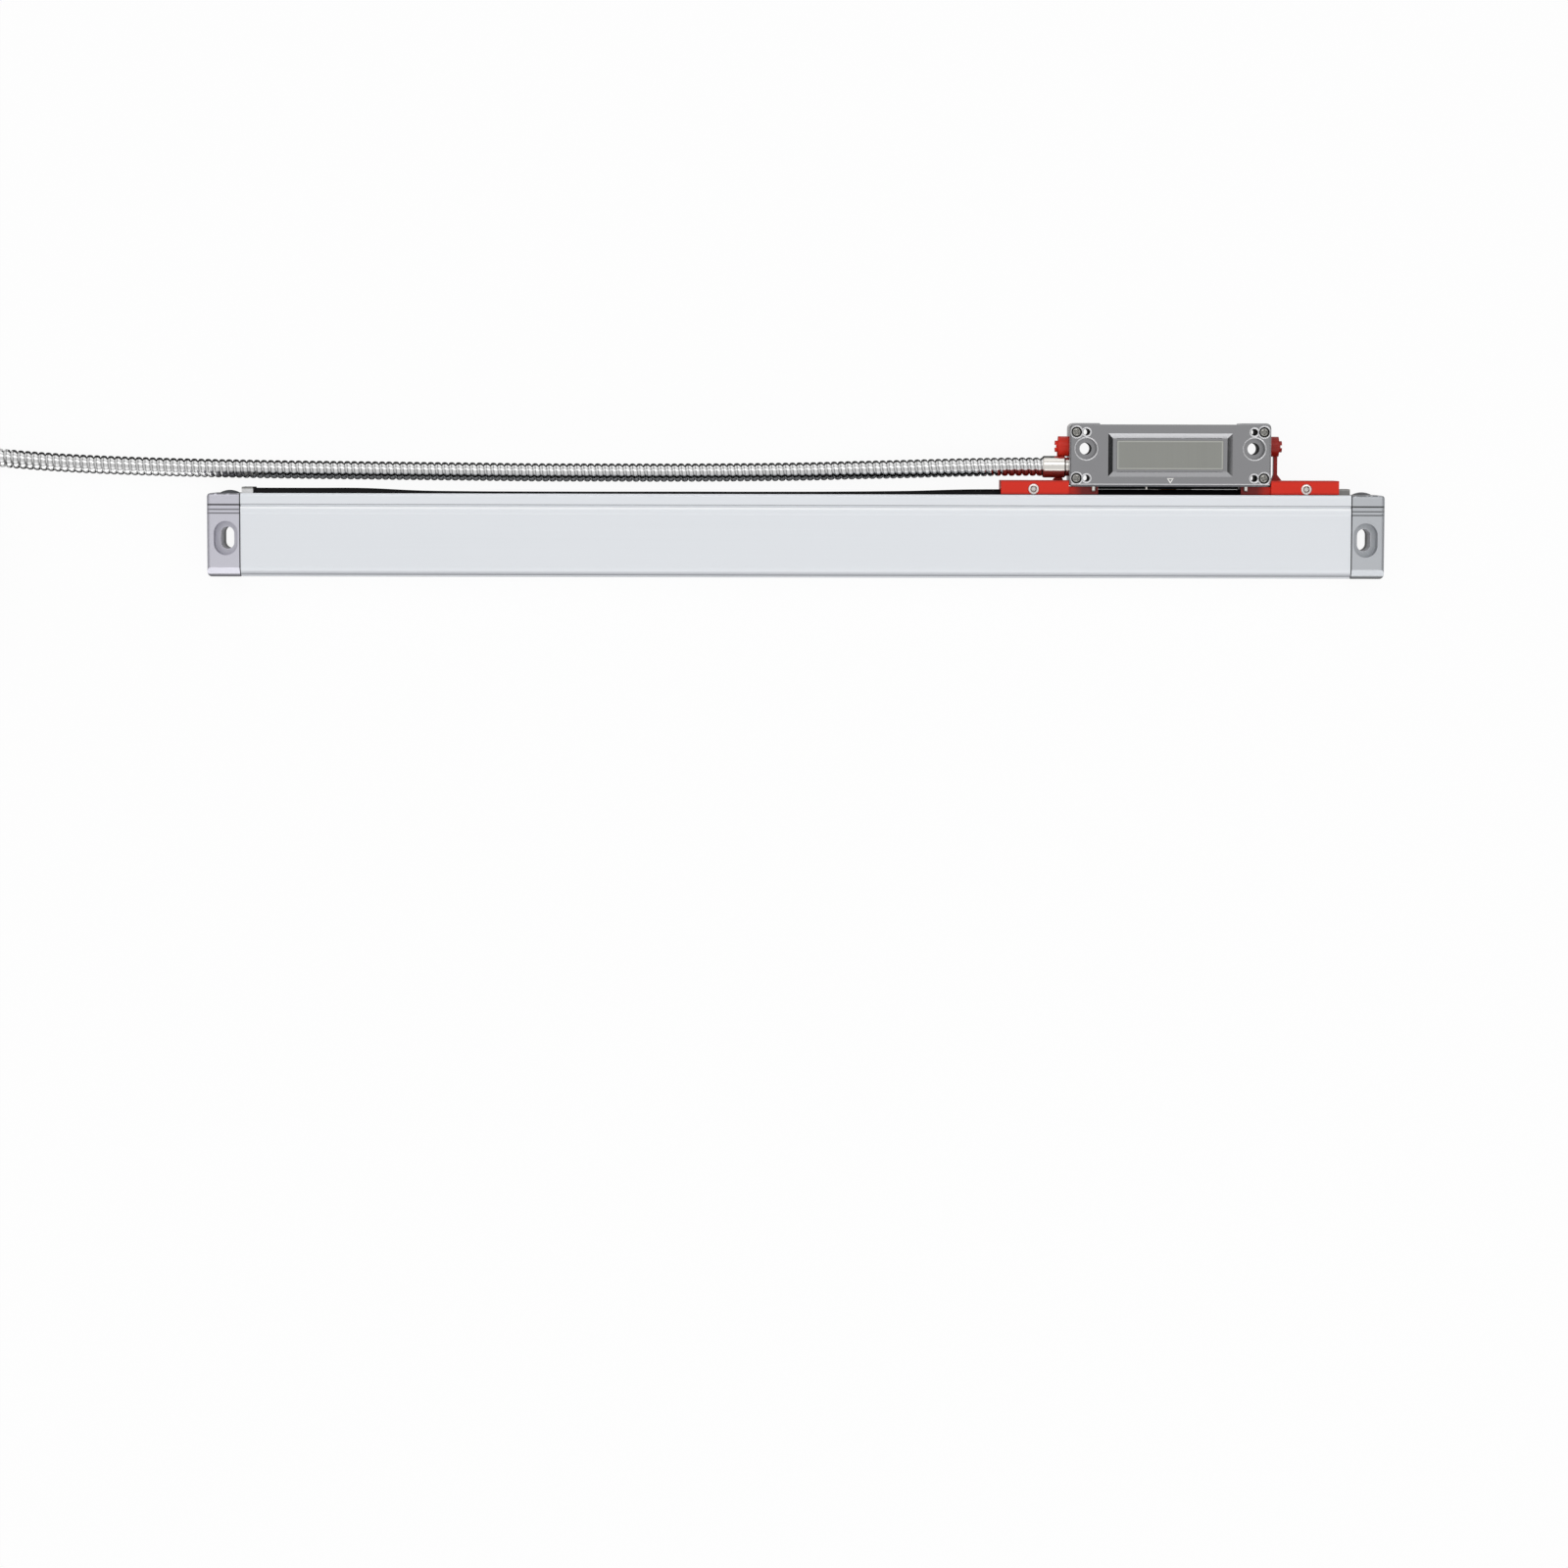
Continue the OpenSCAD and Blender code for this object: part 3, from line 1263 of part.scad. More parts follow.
thumb_screw_1();
thumb_screw_2();
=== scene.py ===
# %% [markdown]
# # A sealed linear scale, dressed for the studio
#
# The object is a measuring scale for a machine tool: a long aluminium housing with a glass
# ruler inside, a die-cast reading head that slides along it, two red brackets that hold the
# head still until it is mounted, and a steel-armoured cable. The rigid pieces come from a CAD
# model. This lesson gives them their finishes, and makes the pieces that a CAD program draws
# badly: the wound steel hose, the soft sealing lips and the softened edges.
#
# Everything is in metres, in the frame of the CAD model: X along the scale, Y from the
# housing towards the head, Z out of the mounting face.

# %% Load the CAD model
import json
import math
from functools import partialmethod

import bmesh
import bpy
import numpy as np
from mathutils import Euler, Matrix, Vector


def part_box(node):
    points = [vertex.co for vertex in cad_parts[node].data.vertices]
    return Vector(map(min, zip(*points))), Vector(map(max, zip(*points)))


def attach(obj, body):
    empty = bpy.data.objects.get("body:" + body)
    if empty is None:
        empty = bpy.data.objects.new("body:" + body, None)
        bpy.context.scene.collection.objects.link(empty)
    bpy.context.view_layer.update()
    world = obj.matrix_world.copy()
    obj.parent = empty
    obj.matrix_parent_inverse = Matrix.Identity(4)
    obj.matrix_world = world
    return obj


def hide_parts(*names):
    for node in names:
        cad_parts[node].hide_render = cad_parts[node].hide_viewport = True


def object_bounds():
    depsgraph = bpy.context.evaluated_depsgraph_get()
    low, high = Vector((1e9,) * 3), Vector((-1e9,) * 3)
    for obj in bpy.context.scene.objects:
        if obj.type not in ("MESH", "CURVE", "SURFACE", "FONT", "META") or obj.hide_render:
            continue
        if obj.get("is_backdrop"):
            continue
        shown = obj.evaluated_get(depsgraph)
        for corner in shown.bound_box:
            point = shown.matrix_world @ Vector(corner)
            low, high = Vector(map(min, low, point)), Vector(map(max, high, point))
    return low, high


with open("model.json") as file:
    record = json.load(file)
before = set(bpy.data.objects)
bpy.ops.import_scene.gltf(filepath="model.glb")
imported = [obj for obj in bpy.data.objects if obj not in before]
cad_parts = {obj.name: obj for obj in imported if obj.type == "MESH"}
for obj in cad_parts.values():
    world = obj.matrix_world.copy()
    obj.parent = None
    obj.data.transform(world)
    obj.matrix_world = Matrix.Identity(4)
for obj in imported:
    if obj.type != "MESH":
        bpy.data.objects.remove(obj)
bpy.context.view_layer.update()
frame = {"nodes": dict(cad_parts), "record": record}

MM = 0.001

# %% [markdown]
# ## The camera
#
# The scale lies on its back on a white table, and the camera looks down on it from about
# 1.7 m. That calls for a long lens, which keeps the housing's edges nearly parallel. The
# camera hangs a little beyond the scale and tilts back by four and a half degrees. A lens
# shift could do the same, but it would spoil other views of the same scene.

# %% Camera
VIEW_FROM = np.array([-0.0042, 0.0406, 1.721])
VIEW_AT = np.array([-0.0042, -0.0927, 0.021])
VIEW_WIDTH = 0.5926  # what the frame takes in across, at the object's face
VIEW_ROLL = math.radians(0.125)
SENSOR_MM = 36

camera_data = bpy.data.cameras.new("camera")
camera = bpy.data.objects.new("camera", camera_data)
bpy.context.scene.collection.objects.link(camera)
bpy.context.scene.camera = camera
rise = VIEW_FROM - VIEW_AT
tilt = Euler((-math.atan2(rise[1], rise[2]), 0, 0)).to_matrix()
camera.location = VIEW_FROM
camera.rotation_euler = (tilt @ Matrix.Rotation(VIEW_ROLL, 3, "Z")).to_euler()
camera_data.sensor_width = SENSOR_MM
camera_data.lens = SENSOR_MM * rise[2] / VIEW_WIDTH
camera_data.clip_start, camera_data.clip_end = 0.05, 20
print(f"camera {np.linalg.norm(rise):.3f} m away, lens {camera_data.lens:.1f} mm")

# %% [markdown]
# ## The route of the hose
#
# The armoured hose leaves the head through a steel ferrule, drops to the table within a
# hand's width and runs along the housing and out of the view. The rest of its three metres is
# wound into a storage coil just outside the view, with the connector resting on it. A free
# stretch follows no formula, so its points are listed one by one, as in the CAD model.

# %% The stretches given one by one
HOSE_D = 7 * MM
ferrule_low, ferrule_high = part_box("cable_ferrule")
exit_point = np.array([ferrule_low.x, (ferrule_low.y + ferrule_high.y) / 2,
                       (ferrule_low.z + ferrule_high.z) / 2])
HOSE_IN_FERRULE = 3 * MM

ROUTE = np.array([
    [84, 27.4, 11], [70, 27.2, 10.6], [54, 26.8, 9.4], [38, 26.3, 7.6],
    [22, 25.9, 5.7], [6, 25.4, 4.2], [-12, 25.1, 3.6], [-32, 24.9, 3.5], [-54, 24.8, 3.5],
    [-76, 24.8, 3.5], [-98, 24.8, 3.5], [-120, 25, 3.5], [-142, 25.2, 3.5],
    [-164, 25.4, 3.5], [-186, 25.6, 3.5], [-208, 25.9, 3.5], [-230, 26.3, 3.5],
    [-252, 26.9, 3.5], [-272, 27.7, 3.5], [-290, 28.8, 3.5], [-306, 30.2, 3.6],
    [-322, 31.9, 3.9], [-338, 33.2, 4.2], [-348, 33.6, 4.4],
]) * MM
LEAD = np.array([
    [-317, -29, 27.6], [-313.6, -15, 30.4], [-314.2, -1, 32.5],
    [-320.3, 12, 32.8], [-331, 24.2, 32.8], [-344, 31.6, 32.8], [-358, 33.9, 32.9],
    [-370, 32, 33.3], [-379, 26, 34], [-384.8, 18, 35], [-387.4, 10, 36.2],
    [-388, 3, 36.9], [-388, 1, 36.9], [-388, -4, 36.9],
]) * MM

print(f"hose: {len(ROUTE)} points along the housing, {len(LEAD)} up to the connector")

# %% [markdown]
# ## The storage coil
#
# The coil does follow a formula: three turns lie beside each other, three on top of them,
# then two and two. A turn moves over to its neighbour or climbs to the next layer within a
# sixth of a turn, a little before the move below it, so that the turns don't collide.

# %% The coil
COIL_CENTRE = np.array([-359, -12]) * MM
COIL_OUTER = 45.7 * MM  # radius of the outermost turn's centreline
COIL_FIRST_Z = 4.4 * MM
TURN_GAP = 7.2 * MM  # from one turn to the turn beside it
LAYER_GAP = 7.1 * MM  # from one layer to the next
COIL_TURNS = 9 + 230 / 360
# where a move starts, in turns; its step outwards; its step upwards
MOVES = np.array([
    [0 + 300 / 360, -1, 0], [1 + 300 / 360, -1, 0], [2 + 290 / 360, 0, 1],
    [3 + 280 / 360, 1, 0], [4 + 280 / 360, 1, 0], [5 + 270 / 360, 0, 1],
    [6 + 260 / 360, -1, 0], [7 + 250 / 360, 0, 1], [8 + 240 / 360, 1, 0],
])
MOVE_TURNS = 60 / 360


def smooth_step(x):
    """3x^2 - 2x^3 between 0 and 1, so a move starts and ends gently."""
    x = np.clip(x, 0, 1)
    return x * x * (3 - 2 * x)


def coil_points(per_turn):
    """Angle grows evenly; radius and height change by one step for each move passed."""
    turn = np.arange(1, int(COIL_TURNS * per_turn) + 1) / per_turn
    done = smooth_step((turn[:, None] - MOVES[None, :, 0]) / MOVE_TURNS)
    radius = COIL_OUTER + TURN_GAP * done @ MOVES[:, 1]
    height = COIL_FIRST_Z + LAYER_GAP * done @ MOVES[:, 2]
    angle = np.pi / 2 + 2 * np.pi * turn
    return np.stack([COIL_CENTRE[0] + radius * np.cos(angle),
                     COIL_CENTRE[1] + radius * np.sin(angle), height], axis=1)


turns = coil_points(24)
print(f"coil: {COIL_TURNS:.2f} turns, {(turns[:, 2].max() - turns[:, 2].min()) / MM:.1f} mm high")

# %% [markdown]
# ## One smooth curve
#
# A hose has no corners, so a spline is laid through all the points. A Catmull-Rom spline
# passes through each one, which a Bezier curve does only with handles that someone has to
# set. The length of the result is measured, because a real hose is sold by its length.


# %% Centreline of the hose
def spline(points, per):
    """Catmull-Rom: between b and c, 0.5(2b + (c-a)t + (2a-5b+4c-d)t^2 + (3b-a-3c+d)t^3)."""
    padded = np.vstack([2 * points[0] - points[1], points, 2 * points[-1] - points[-2]])
    a, b, c, d = (padded[k:len(padded) - 3 + k][:, None] for k in range(4))
    t = (np.arange(per) / per)[None, :, None]
    curve = 0.5 * (2 * b + (c - a) * t + (2 * a - 5 * b + 4 * c - d) * t ** 2
                   + (3 * b - a - 3 * c + d) * t ** 3)
    return np.vstack([curve.reshape(-1, 3), points[-1]])


def arc_length(points):
    """Distance from the first point, along the line, at every point."""
    return np.concatenate([[0], np.cumsum(np.linalg.norm(np.diff(points, axis=0), axis=1))])


start = exit_point + [HOSE_IN_FERRULE, 0, 0]
coil_start = [COIL_CENTRE[0], COIL_CENTRE[1] + COIL_OUTER, COIL_FIRST_Z]
centreline = spline(np.vstack([start, ROUTE, coil_start, turns, LEAD]), 16)
HOSE_LENGTH = arc_length(centreline)[-1]
print(f"hose: {HOSE_LENGTH:.3f} m over {len(centreline)} points")

# %% [markdown]
# ## From arrays to meshes
#
# Every new piece below is an array of points from a formula, so three helpers serve them
# all. One puts points and faces into a mesh. One cleans it: doubled points are merged, open
# ends closed and faces turned outwards, for the renders and the export. One numbers the
# corners of a grid's faces.

# %% Mesh helpers
def new_mesh_object(name, points, faces):
    """Puts arrays of points (n, 3) and of faces (m, 3 or 4) into a mesh object."""
    mesh = bpy.data.meshes.new(name)
    mesh.from_pydata(points.tolist(), [], faces.tolist())
    mesh.update()
    thing = bpy.data.objects.new(name, mesh)
    bpy.context.scene.collection.objects.link(thing)
    return thing


def tidy_mesh(thing, merge=1e-7, fill=True, angle=35):
    """Merges doubled corners, closes open ends, turns faces outwards, keeps crisp edges."""
    work = bmesh.new()
    work.from_mesh(thing.data)
    bmesh.ops.remove_doubles(work, verts=work.verts, dist=merge)
    bmesh.ops.dissolve_degenerate(work, edges=work.edges, dist=merge)
    if fill:
        rims = [e for e in work.edges if e.is_boundary]
        bmesh.ops.holes_fill(work, edges=rims, sides=0)
    bmesh.ops.recalc_face_normals(work, faces=work.faces)
    work.to_mesh(thing.data)
    work.free()
    thing.data.shade_smooth()
    thing.data.set_sharp_from_angle(angle=math.radians(angle))


def faces_of_grid(rows, columns, closed):
    """Corner numbers of the four-sided faces of a grid; closed joins last column to first."""
    i = np.arange(rows - 1)[:, None]
    j = np.arange(columns if closed else columns - 1)[None, :]
    k = (j + 1) % columns
    return np.stack([i * columns + j, (i + 1) * columns + j,
                     (i + 1) * columns + k, i * columns + k], axis=-1).reshape(-1, 4)


# %% [markdown]
# ## The armour of the hose
#
# The armour is one steel strip, wound like a screw with its edges hooked into each other.
# Each winding shows as a rounded band with a narrow groove to the next. A bump texture would
# keep the outline smooth, and the scalloped outline is what gives such a hose away, so the
# bands are real geometry. The grid of the surface is wound like the strip, which keeps the
# groove crisp with only five rows to a winding. The rows stand closer together beside the
# groove, where the band bends most.

# %% A strip wound round a path
BAND_PITCH = 2.65 * MM
BAND_DEPTH = 0.85 * MM
# places across one band, from groove to groove, and how far the band has sunk there
BAND_PLACES = np.array([0, 0.13, 0.33, 0.62, 0.86])
BAND_DROPS = np.array([1, 0.34, 0.05, 0, 0.26])
FOLD_ROW = 3  # the row of the strip's folded edge
HOSE_SIDES = 16


def wound_hose(path, radius, depth, pitch, places, drops, sides):
    """Point (i, j) lies at the arc length (n + p_k + j/sides) * pitch and at the angle
    360j/sides round the path, at the radius R - depth * d_k, where i = n * rows + k, and p_k
    and d_k are the place across the band and the drop there. It returns points and faces, and
    for each point d_k^2, 1 on the fold, its arc length and its direction outwards."""
    arc = arc_length(path)
    heading = np.gradient(path, arc, axis=0)
    rows = len(places)
    i = np.arange(-rows, int(arc[-1] / pitch) * rows + 2)
    j = np.arange(sides)
    s = (i // rows + places[i % rows])[:, None] + j[None, :] / sides
    s = np.clip(s * pitch, 0, arc[-1])
    r = radius - depth * drops[i % rows]
    centre = np.stack([np.interp(s, arc, path[:, k]) for k in range(3)], axis=-1)
    ahead = np.stack([np.interp(s, arc, heading[:, k]) for k in range(3)], axis=-1)
    ahead /= np.linalg.norm(ahead, axis=-1, keepdims=True)
    side = np.cross([0, 0, 1], ahead)
    side /= np.linalg.norm(side, axis=-1, keepdims=True)
    up = np.cross(ahead, side)
    angle = (2 * np.pi * j / sides)[None, :, None]
    points = centre + r[:, None, None] * (np.cos(angle) * side + np.sin(angle) * up)
    # the last column joins the first column of the next winding
    number = np.arange(len(i))[:, None] * sides + j[None, :]
    right = np.concatenate([number[:, 1:], np.full((len(i), 1), -1)], axis=1)
    right[:len(i) - rows, -1] = number[rows:, 0]
    faces = np.stack([number[:-1], number[1:], right[1:], right[:-1]], axis=-1).reshape(-1, 4)
    faces = faces[faces.min(axis=1) >= 0]
    flat = s.reshape(-1)[faces]
    faces = faces[flat.max(axis=1) - flat.min(axis=1) > 1e-9]
    # these values darken the groove and the fold as painted shade
    groove = np.repeat(drops[i % rows] ** 2, sides)
    fold_shade = np.repeat((i % rows == FOLD_ROW) * 1.0, sides)
    outward = (points - centre) / r[:, None, None]
    return points.reshape(-1, 3), faces, groove, fold_shade, s.reshape(-1), outward.reshape(-1, 3)


# %% [markdown]
# The finish has to follow the winding, which no coordinate of the object does. So the mesh
# carries values at its points: how deep in the groove a point lies, whether it is on the
# strip's folded edge, and how far along the hose it is. The direction out of the hose is kept
# too, to soften the shading, as polish rounds off a real strip.


# %% The armoured hose
def soften_shading(thing, attribute, share):
    """Shading normal = (1 - share) * true normal + share * the direction in an attribute."""
    mesh = thing.data
    true = np.zeros(len(mesh.vertices) * 3, np.float32)
    mesh.vertices.foreach_get("normal", true)
    kept = np.zeros_like(true)
    mesh.attributes[attribute].data.foreach_get("vector", kept)
    mixed = ((1 - share) * true + share * kept).reshape(-1, 3)
    mixed /= np.maximum(np.linalg.norm(mixed, axis=1, keepdims=True), 1e-9)
    mesh.normals_split_custom_set_from_vertices(mixed.tolist())


POLISH = 0.4  # the share of the way out in the shading
points, faces, groove, fold_shade, along, outward = wound_hose(
    centreline, HOSE_D / 2, BAND_DEPTH, BAND_PITCH, BAND_PLACES, BAND_DROPS, HOSE_SIDES)
armoured_hose = new_mesh_object("armoured_hose", points, faces)
for label, value in (("groove", groove), ("fold_shade", fold_shade), ("along", along)):
    attribute = armoured_hose.data.attributes.new(label, "FLOAT", "POINT")
    attribute.data.foreach_set("value", value.astype(np.float32))
attribute = armoured_hose.data.attributes.new("outward", "FLOAT_VECTOR", "POINT")
attribute.data.foreach_set("vector", outward.astype(np.float32).ravel())
tidy_mesh(armoured_hose, angle=60)
soften_shading(armoured_hose, "outward", POLISH)
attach(armoured_hose, "reading_head")
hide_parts("cable_hose", "hose_lead", "hose_coil")
print(f"armour: {len(faces)} faces, {HOSE_LENGTH / BAND_PITCH:.0f} windings")

# %% [markdown]
# ## The sealing lips
#
# Two rubber lips close the slot that the head's arm travels in. They are pressed into
# grooves of the housing and lean towards each other like a roof. Soft rubber never lies quite
# straight: near the left end and under the head, where the arm spreads them, the lips stand
# two millimetres proud, and in between they sag back towards the housing. The heights are a
# short table. They are joined evenly and then averaged over their neighbours, because rubber
# bends in curves and not in corners.

# %% How far the lips stand out
LIP_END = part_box("lip_seal_front")[1].x
LIP_STEPS = 420
BLUR_STEPS = 23  # how many neighbours one height is averaged over
# X, and how far the lips stand above the housing there
LIP_RISE = np.array([
    [-205.1, 1.95], [-196, 1.93], [-180, 1.95], [-168, 2.0], [-158, 1.75], [-150, 1.25],
    [-141, 0.92], [-120, 0.75], [-96, 0.7], [-78, 0.7], [-60, 0.78], [-40, 0.82], [-20, 0.78],
    [0, 0.86], [19, 0.98], [37, 1.15], [45, 1.25], [54, 1.55], [63, 1.85], [76, 1.97],
    [100, 2.0], [141, 2.0], [205.1, 2.0],
]) * MM

lip_x = np.linspace(-LIP_END, LIP_END, LIP_STEPS)
weights = np.hanning(BLUR_STEPS) / np.hanning(BLUR_STEPS).sum()
lip_rise = np.interp(lip_x, LIP_RISE[:, 0], LIP_RISE[:, 1])
lip_rise = np.convolve(np.pad(lip_rise, BLUR_STEPS // 2, "edge"), weights, "valid")
print(f"lips: {lip_rise.min() / MM:.2f} to {lip_rise.max() / MM:.2f} mm proud")

# %% [markdown]
# Each lip is one section swept along X. The section has eleven corners: a foot in the
# housing's groove, a thin blade that leans over the slot, and a rounded tip. The upper
# corners take their height from the curve above, so the whole lip is one array. A modifier
# could bend a straight lip, but it needs a second object to steer it.

# %% Sealing lips
SLOT_MIDDLE = 11  # Z of the slot between the lips, in millimetres
housing_low, housing_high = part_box("housing_extrusion")
EDGE_Y = housing_high.y / MM
FULL_RISE = 2.0  # at this rise the blade's outer side leans least
LEAN = 0.35  # how far that side moves in as the rise falls to 0
RIPPLE = 0.02 * MM
RIPPLES = 90  # radians of ripple per metre


def lip_corners(rise, side):
    """Corners (y, z) of the section for an array of rises, all in metres: a corner sits at
    a fixed height or a share of the rise above the housing. side is 1 or -1."""
    up = rise / MM
    top = EDGE_Y + up
    root = 2.9 - LEAN * (1 - up / FULL_RISE)
    corners = [(15.45, 4.95), (16.35, 4.95), (16.35, 3.8), (EDGE_Y, 3.75),
               (EDGE_Y + 0.55 * up, root), (top - 0.12, 1.5), (top, 1.15), (top - 0.12, 0.8),
               (top - 0.45, 0.75), (EDGE_Y + 0.25 * up, 1.8), (15.45, 3.0)]
    y, z = (np.stack([np.broadcast_to(corner[axis], up.shape) for corner in corners], 1)
            for axis in (0, 1))
    return np.stack([y, SLOT_MIDDLE + side * z], axis=2) * MM


for name, node, side in (("lip_front", "lip_seal_front", 1), ("lip_rear", "lip_seal_rear", -1)):
    section = lip_corners(lip_rise + side * RIPPLE * np.sin(lip_x * RIPPLES), side)
    corners = section.shape[1]
    along_x = np.broadcast_to(lip_x[:, None, None], (LIP_STEPS, corners, 1))
    points = np.concatenate([along_x, section], axis=2).reshape(-1, 3)
    lip = new_mesh_object(name, points, faces_of_grid(LIP_STEPS, corners, True))
    tidy_mesh(lip)
    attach(lip, "scale")
    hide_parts(node)
    print(f"{name}: {len(lip.data.polygons)} faces")

# %% [markdown]
# ## The index mark
#
# A small white triangle on the cover points at the middle of the reading window. It is
# printed, so it is a layer of paint a few hundredths of a millimetre thick: a frame between
# an outer and an inner triangle. A picture on the cover would blur up close.

# %% Index mark
cover_low, cover_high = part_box("head_cover")
HEAD_X = (cover_low.x + cover_high.x) / 2 / MM  # the middle of the head, in millimetres
MARK = np.array([[-1.3, 23.25], [1.3, 23.25], [0, 21.2]]) * MM
PAINT = 0.03 * MM


def triangle_frame(corners, shrink, z0, z1):
    """Rings of three corners: outer low, outer high, inner high, inner low, joined round."""
    middle = corners.mean(axis=0)
    inner = middle + (corners - middle) * shrink
    rings = [np.column_stack([ring, np.full(3, z)]) for ring, z in
             ((corners, z0), (corners, z1), (inner, z1), (inner, z0))]
    return np.vstack(rings + rings[:1]), faces_of_grid(5, 3, True)


points, faces = triangle_frame(MARK + [HEAD_X * MM, 0], 0.5, cover_high.z - PAINT,
                               cover_high.z + PAINT)
index_mark = new_mesh_object("index_mark", points, faces)
tidy_mesh(index_mark, fill=False)
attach(index_mark, "reading_head")
print(f"index mark: {len(index_mark.data.polygons)} faces, {2 * PAINT / MM:.2f} mm thick")

# %% [markdown]
# ## Screws with a driven look
#
# The head's cover and the two brackets are held by pan-head screws with a cross recess. The
# CAD screws have flat heads with two crossed slots, which is enough for a drawing. A real
# head is a low dome with soft edges to its cross, so here the cross is a dent in a dome,
# worked out for every point of one grid.

# %% Pan-head screws
HEAD_ROWS, HEAD_COLUMNS = 30, 72
CROSS_DEPTH = 0.42  # in shares of the head's radius, as the next three are
CROSS_HALF_WIDTH = 0.20
CROSS_REACH = 0.66
CROSS_SOFTNESS = 0.07, 0.08  # of the sides of the arms, and of their ends


def pan_head(centre, radius, top, dome, seat, turn):
    """A dome z = top - dome * (r/R)^3 on a polar grid, sunk where the point lies within either
    arm of a cross, then a wall down to the seat and a flat underside."""
    r = radius * np.linspace(0, 1, HEAD_ROWS) ** 0.9
    angle = np.arange(HEAD_COLUMNS) * 2 * np.pi / HEAD_COLUMNS
    x = r[:, None] * np.cos(angle)
    y = r[:, None] * np.sin(angle)
    u = np.abs(x * math.cos(turn) + y * math.sin(turn)) / radius
    v = np.abs(y * math.cos(turn) - x * math.sin(turn)) / radius
    arm = smooth_step((CROSS_HALF_WIDTH - np.minimum(u, v)) / CROSS_SOFTNESS[0])
    reach = smooth_step((CROSS_REACH - np.maximum(u, v)) / CROSS_SOFTNESS[1])
    z = top - dome * (r[:, None] / radius) ** 3 - CROSS_DEPTH * radius * arm * reach
    face = np.stack([x, y, z], axis=-1)
    rim = face[-1:].copy()
    rim[..., 2] = seat
    under = np.zeros_like(rim)
    under[..., 2] = seat
    points = np.concatenate([face, rim, under]).reshape(-1, 3) + np.append(centre, 0)
    return points, faces_of_grid(HEAD_ROWS + 2, HEAD_COLUMNS, True)


FIRST_TURN = 0.6  # radians, as the next one is
NEXT_TURN = 1.9


def screw_set(name, node, middle_y, spread, radius, top, dome, seat):
    """All heads of one kind in one piece, each turned by its own angle, since no two screws
    stop at the same one. Sizes are in millimetres."""
    spots = sorted({(HEAD_X + side_x * spread[0], middle_y + side_y * spread[1])
                    for side_x in (-1, 1) for side_y in (-1, 1)})
    parts, faces = [], []
    for k, spot in enumerate(spots):
        part, quads = pan_head(np.array(spot) * MM, radius * MM, top * MM, dome * MM,
                               seat * MM, FIRST_TURN + k * NEXT_TURN)
        faces.append(quads + k * len(part))
        parts.append(part)
    screws = new_mesh_object(name, np.vstack(parts), np.vstack(faces))
    tidy_mesh(screws, merge=1e-8, angle=50)
    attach(screws, "reading_head")
    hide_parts(node)
    print(f"{name}: {len(spots)} screws, {len(screws.data.polygons)} faces")


HOLES_Y = 31.9  # the middle of the cover's four corner holes
COVER_SCREWS = 35.4, 8.7  # how far they stand from that middle
BRACKET_SCREWS_Y = 19.1
BRACKET_SCREWS = 51.5, 0
screw_set("cover_screw_heads", "cover_screws", HOLES_Y, COVER_SCREWS,
          radius=1.62, top=19.7, dome=0.45, seat=18.55)
screw_set("bracket_screw_heads", "bracket_screws", BRACKET_SCREWS_Y, BRACKET_SCREWS,
          radius=1.99, top=19.45, dome=0.35, seat=18.1)

# %% [markdown]
# ## Softened edges
#
# No cast or moulded edge is a perfect corner: it has a radius of a few tenths of a
# millimetre, which catches the light as a thin bright line. So the pieces that are seen most
# get a copy with a small Bevel modifier. The copy's loose triangles are joined and its flat
# areas cleared of needless edges first, because a bevel can only follow clean edges.


# %% Softened copies
MERGE_WITHIN = 2e-6  # metres
FLAT_WITHIN = math.radians(0.5)
SHARP_ABOVE = math.radians(25)
BEVEL_ABOVE = math.radians(28)


def soften(node, width):
    """A copy of a CAD piece with edges rounded over a width in millimetres, to stand for it."""
    work = bmesh.new()
    work.from_mesh(frame["nodes"][node].data)
    bmesh.ops.remove_doubles(work, verts=work.verts, dist=MERGE_WITHIN)
    bmesh.ops.dissolve_limit(work, angle_limit=FLAT_WITHIN, verts=work.verts, edges=work.edges)
    mesh = bpy.data.meshes.new(node + "_soft")
    work.to_mesh(mesh)
    work.free()
    copy = bpy.data.objects.new(node + "_soft", mesh)
    bpy.context.scene.collection.objects.link(copy)
    mesh.shade_smooth()
    mesh.set_sharp_from_angle(angle=SHARP_ABOVE)
    bevel = copy.modifiers.new("edges", "BEVEL")
    bevel.width = width * MM
    bevel.segments = 2
    bevel.limit_method = "ANGLE"
    bevel.angle_limit = BEVEL_ABOVE
    bevel.use_clamp_overlap = True
    bevel.harden_normals = True
    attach(copy, "reading_head")
    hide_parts(node)
    print(f"{node}: {len(mesh.polygons)} faces before its {width} mm edges")
    return copy


soft_pieces = {
    "head_cover": soften("head_cover", 0.14),
    "bracket_left": soften("bracket_left", 0.25),
    "bracket_right": soften("bracket_right", 0.25),
}

# %% [markdown]
# ## Shader maths
#
# A material is a tree of nodes, and most of them do plain arithmetic: add, multiply, compare.
# Wired by hand, one line of sums takes a dozen statements. So a small class stands for a
# socket, and its operators add the Math nodes: one minus a mask is written 1 - mask. Every
# node comes from one method, which takes its type, its settings and its inputs.


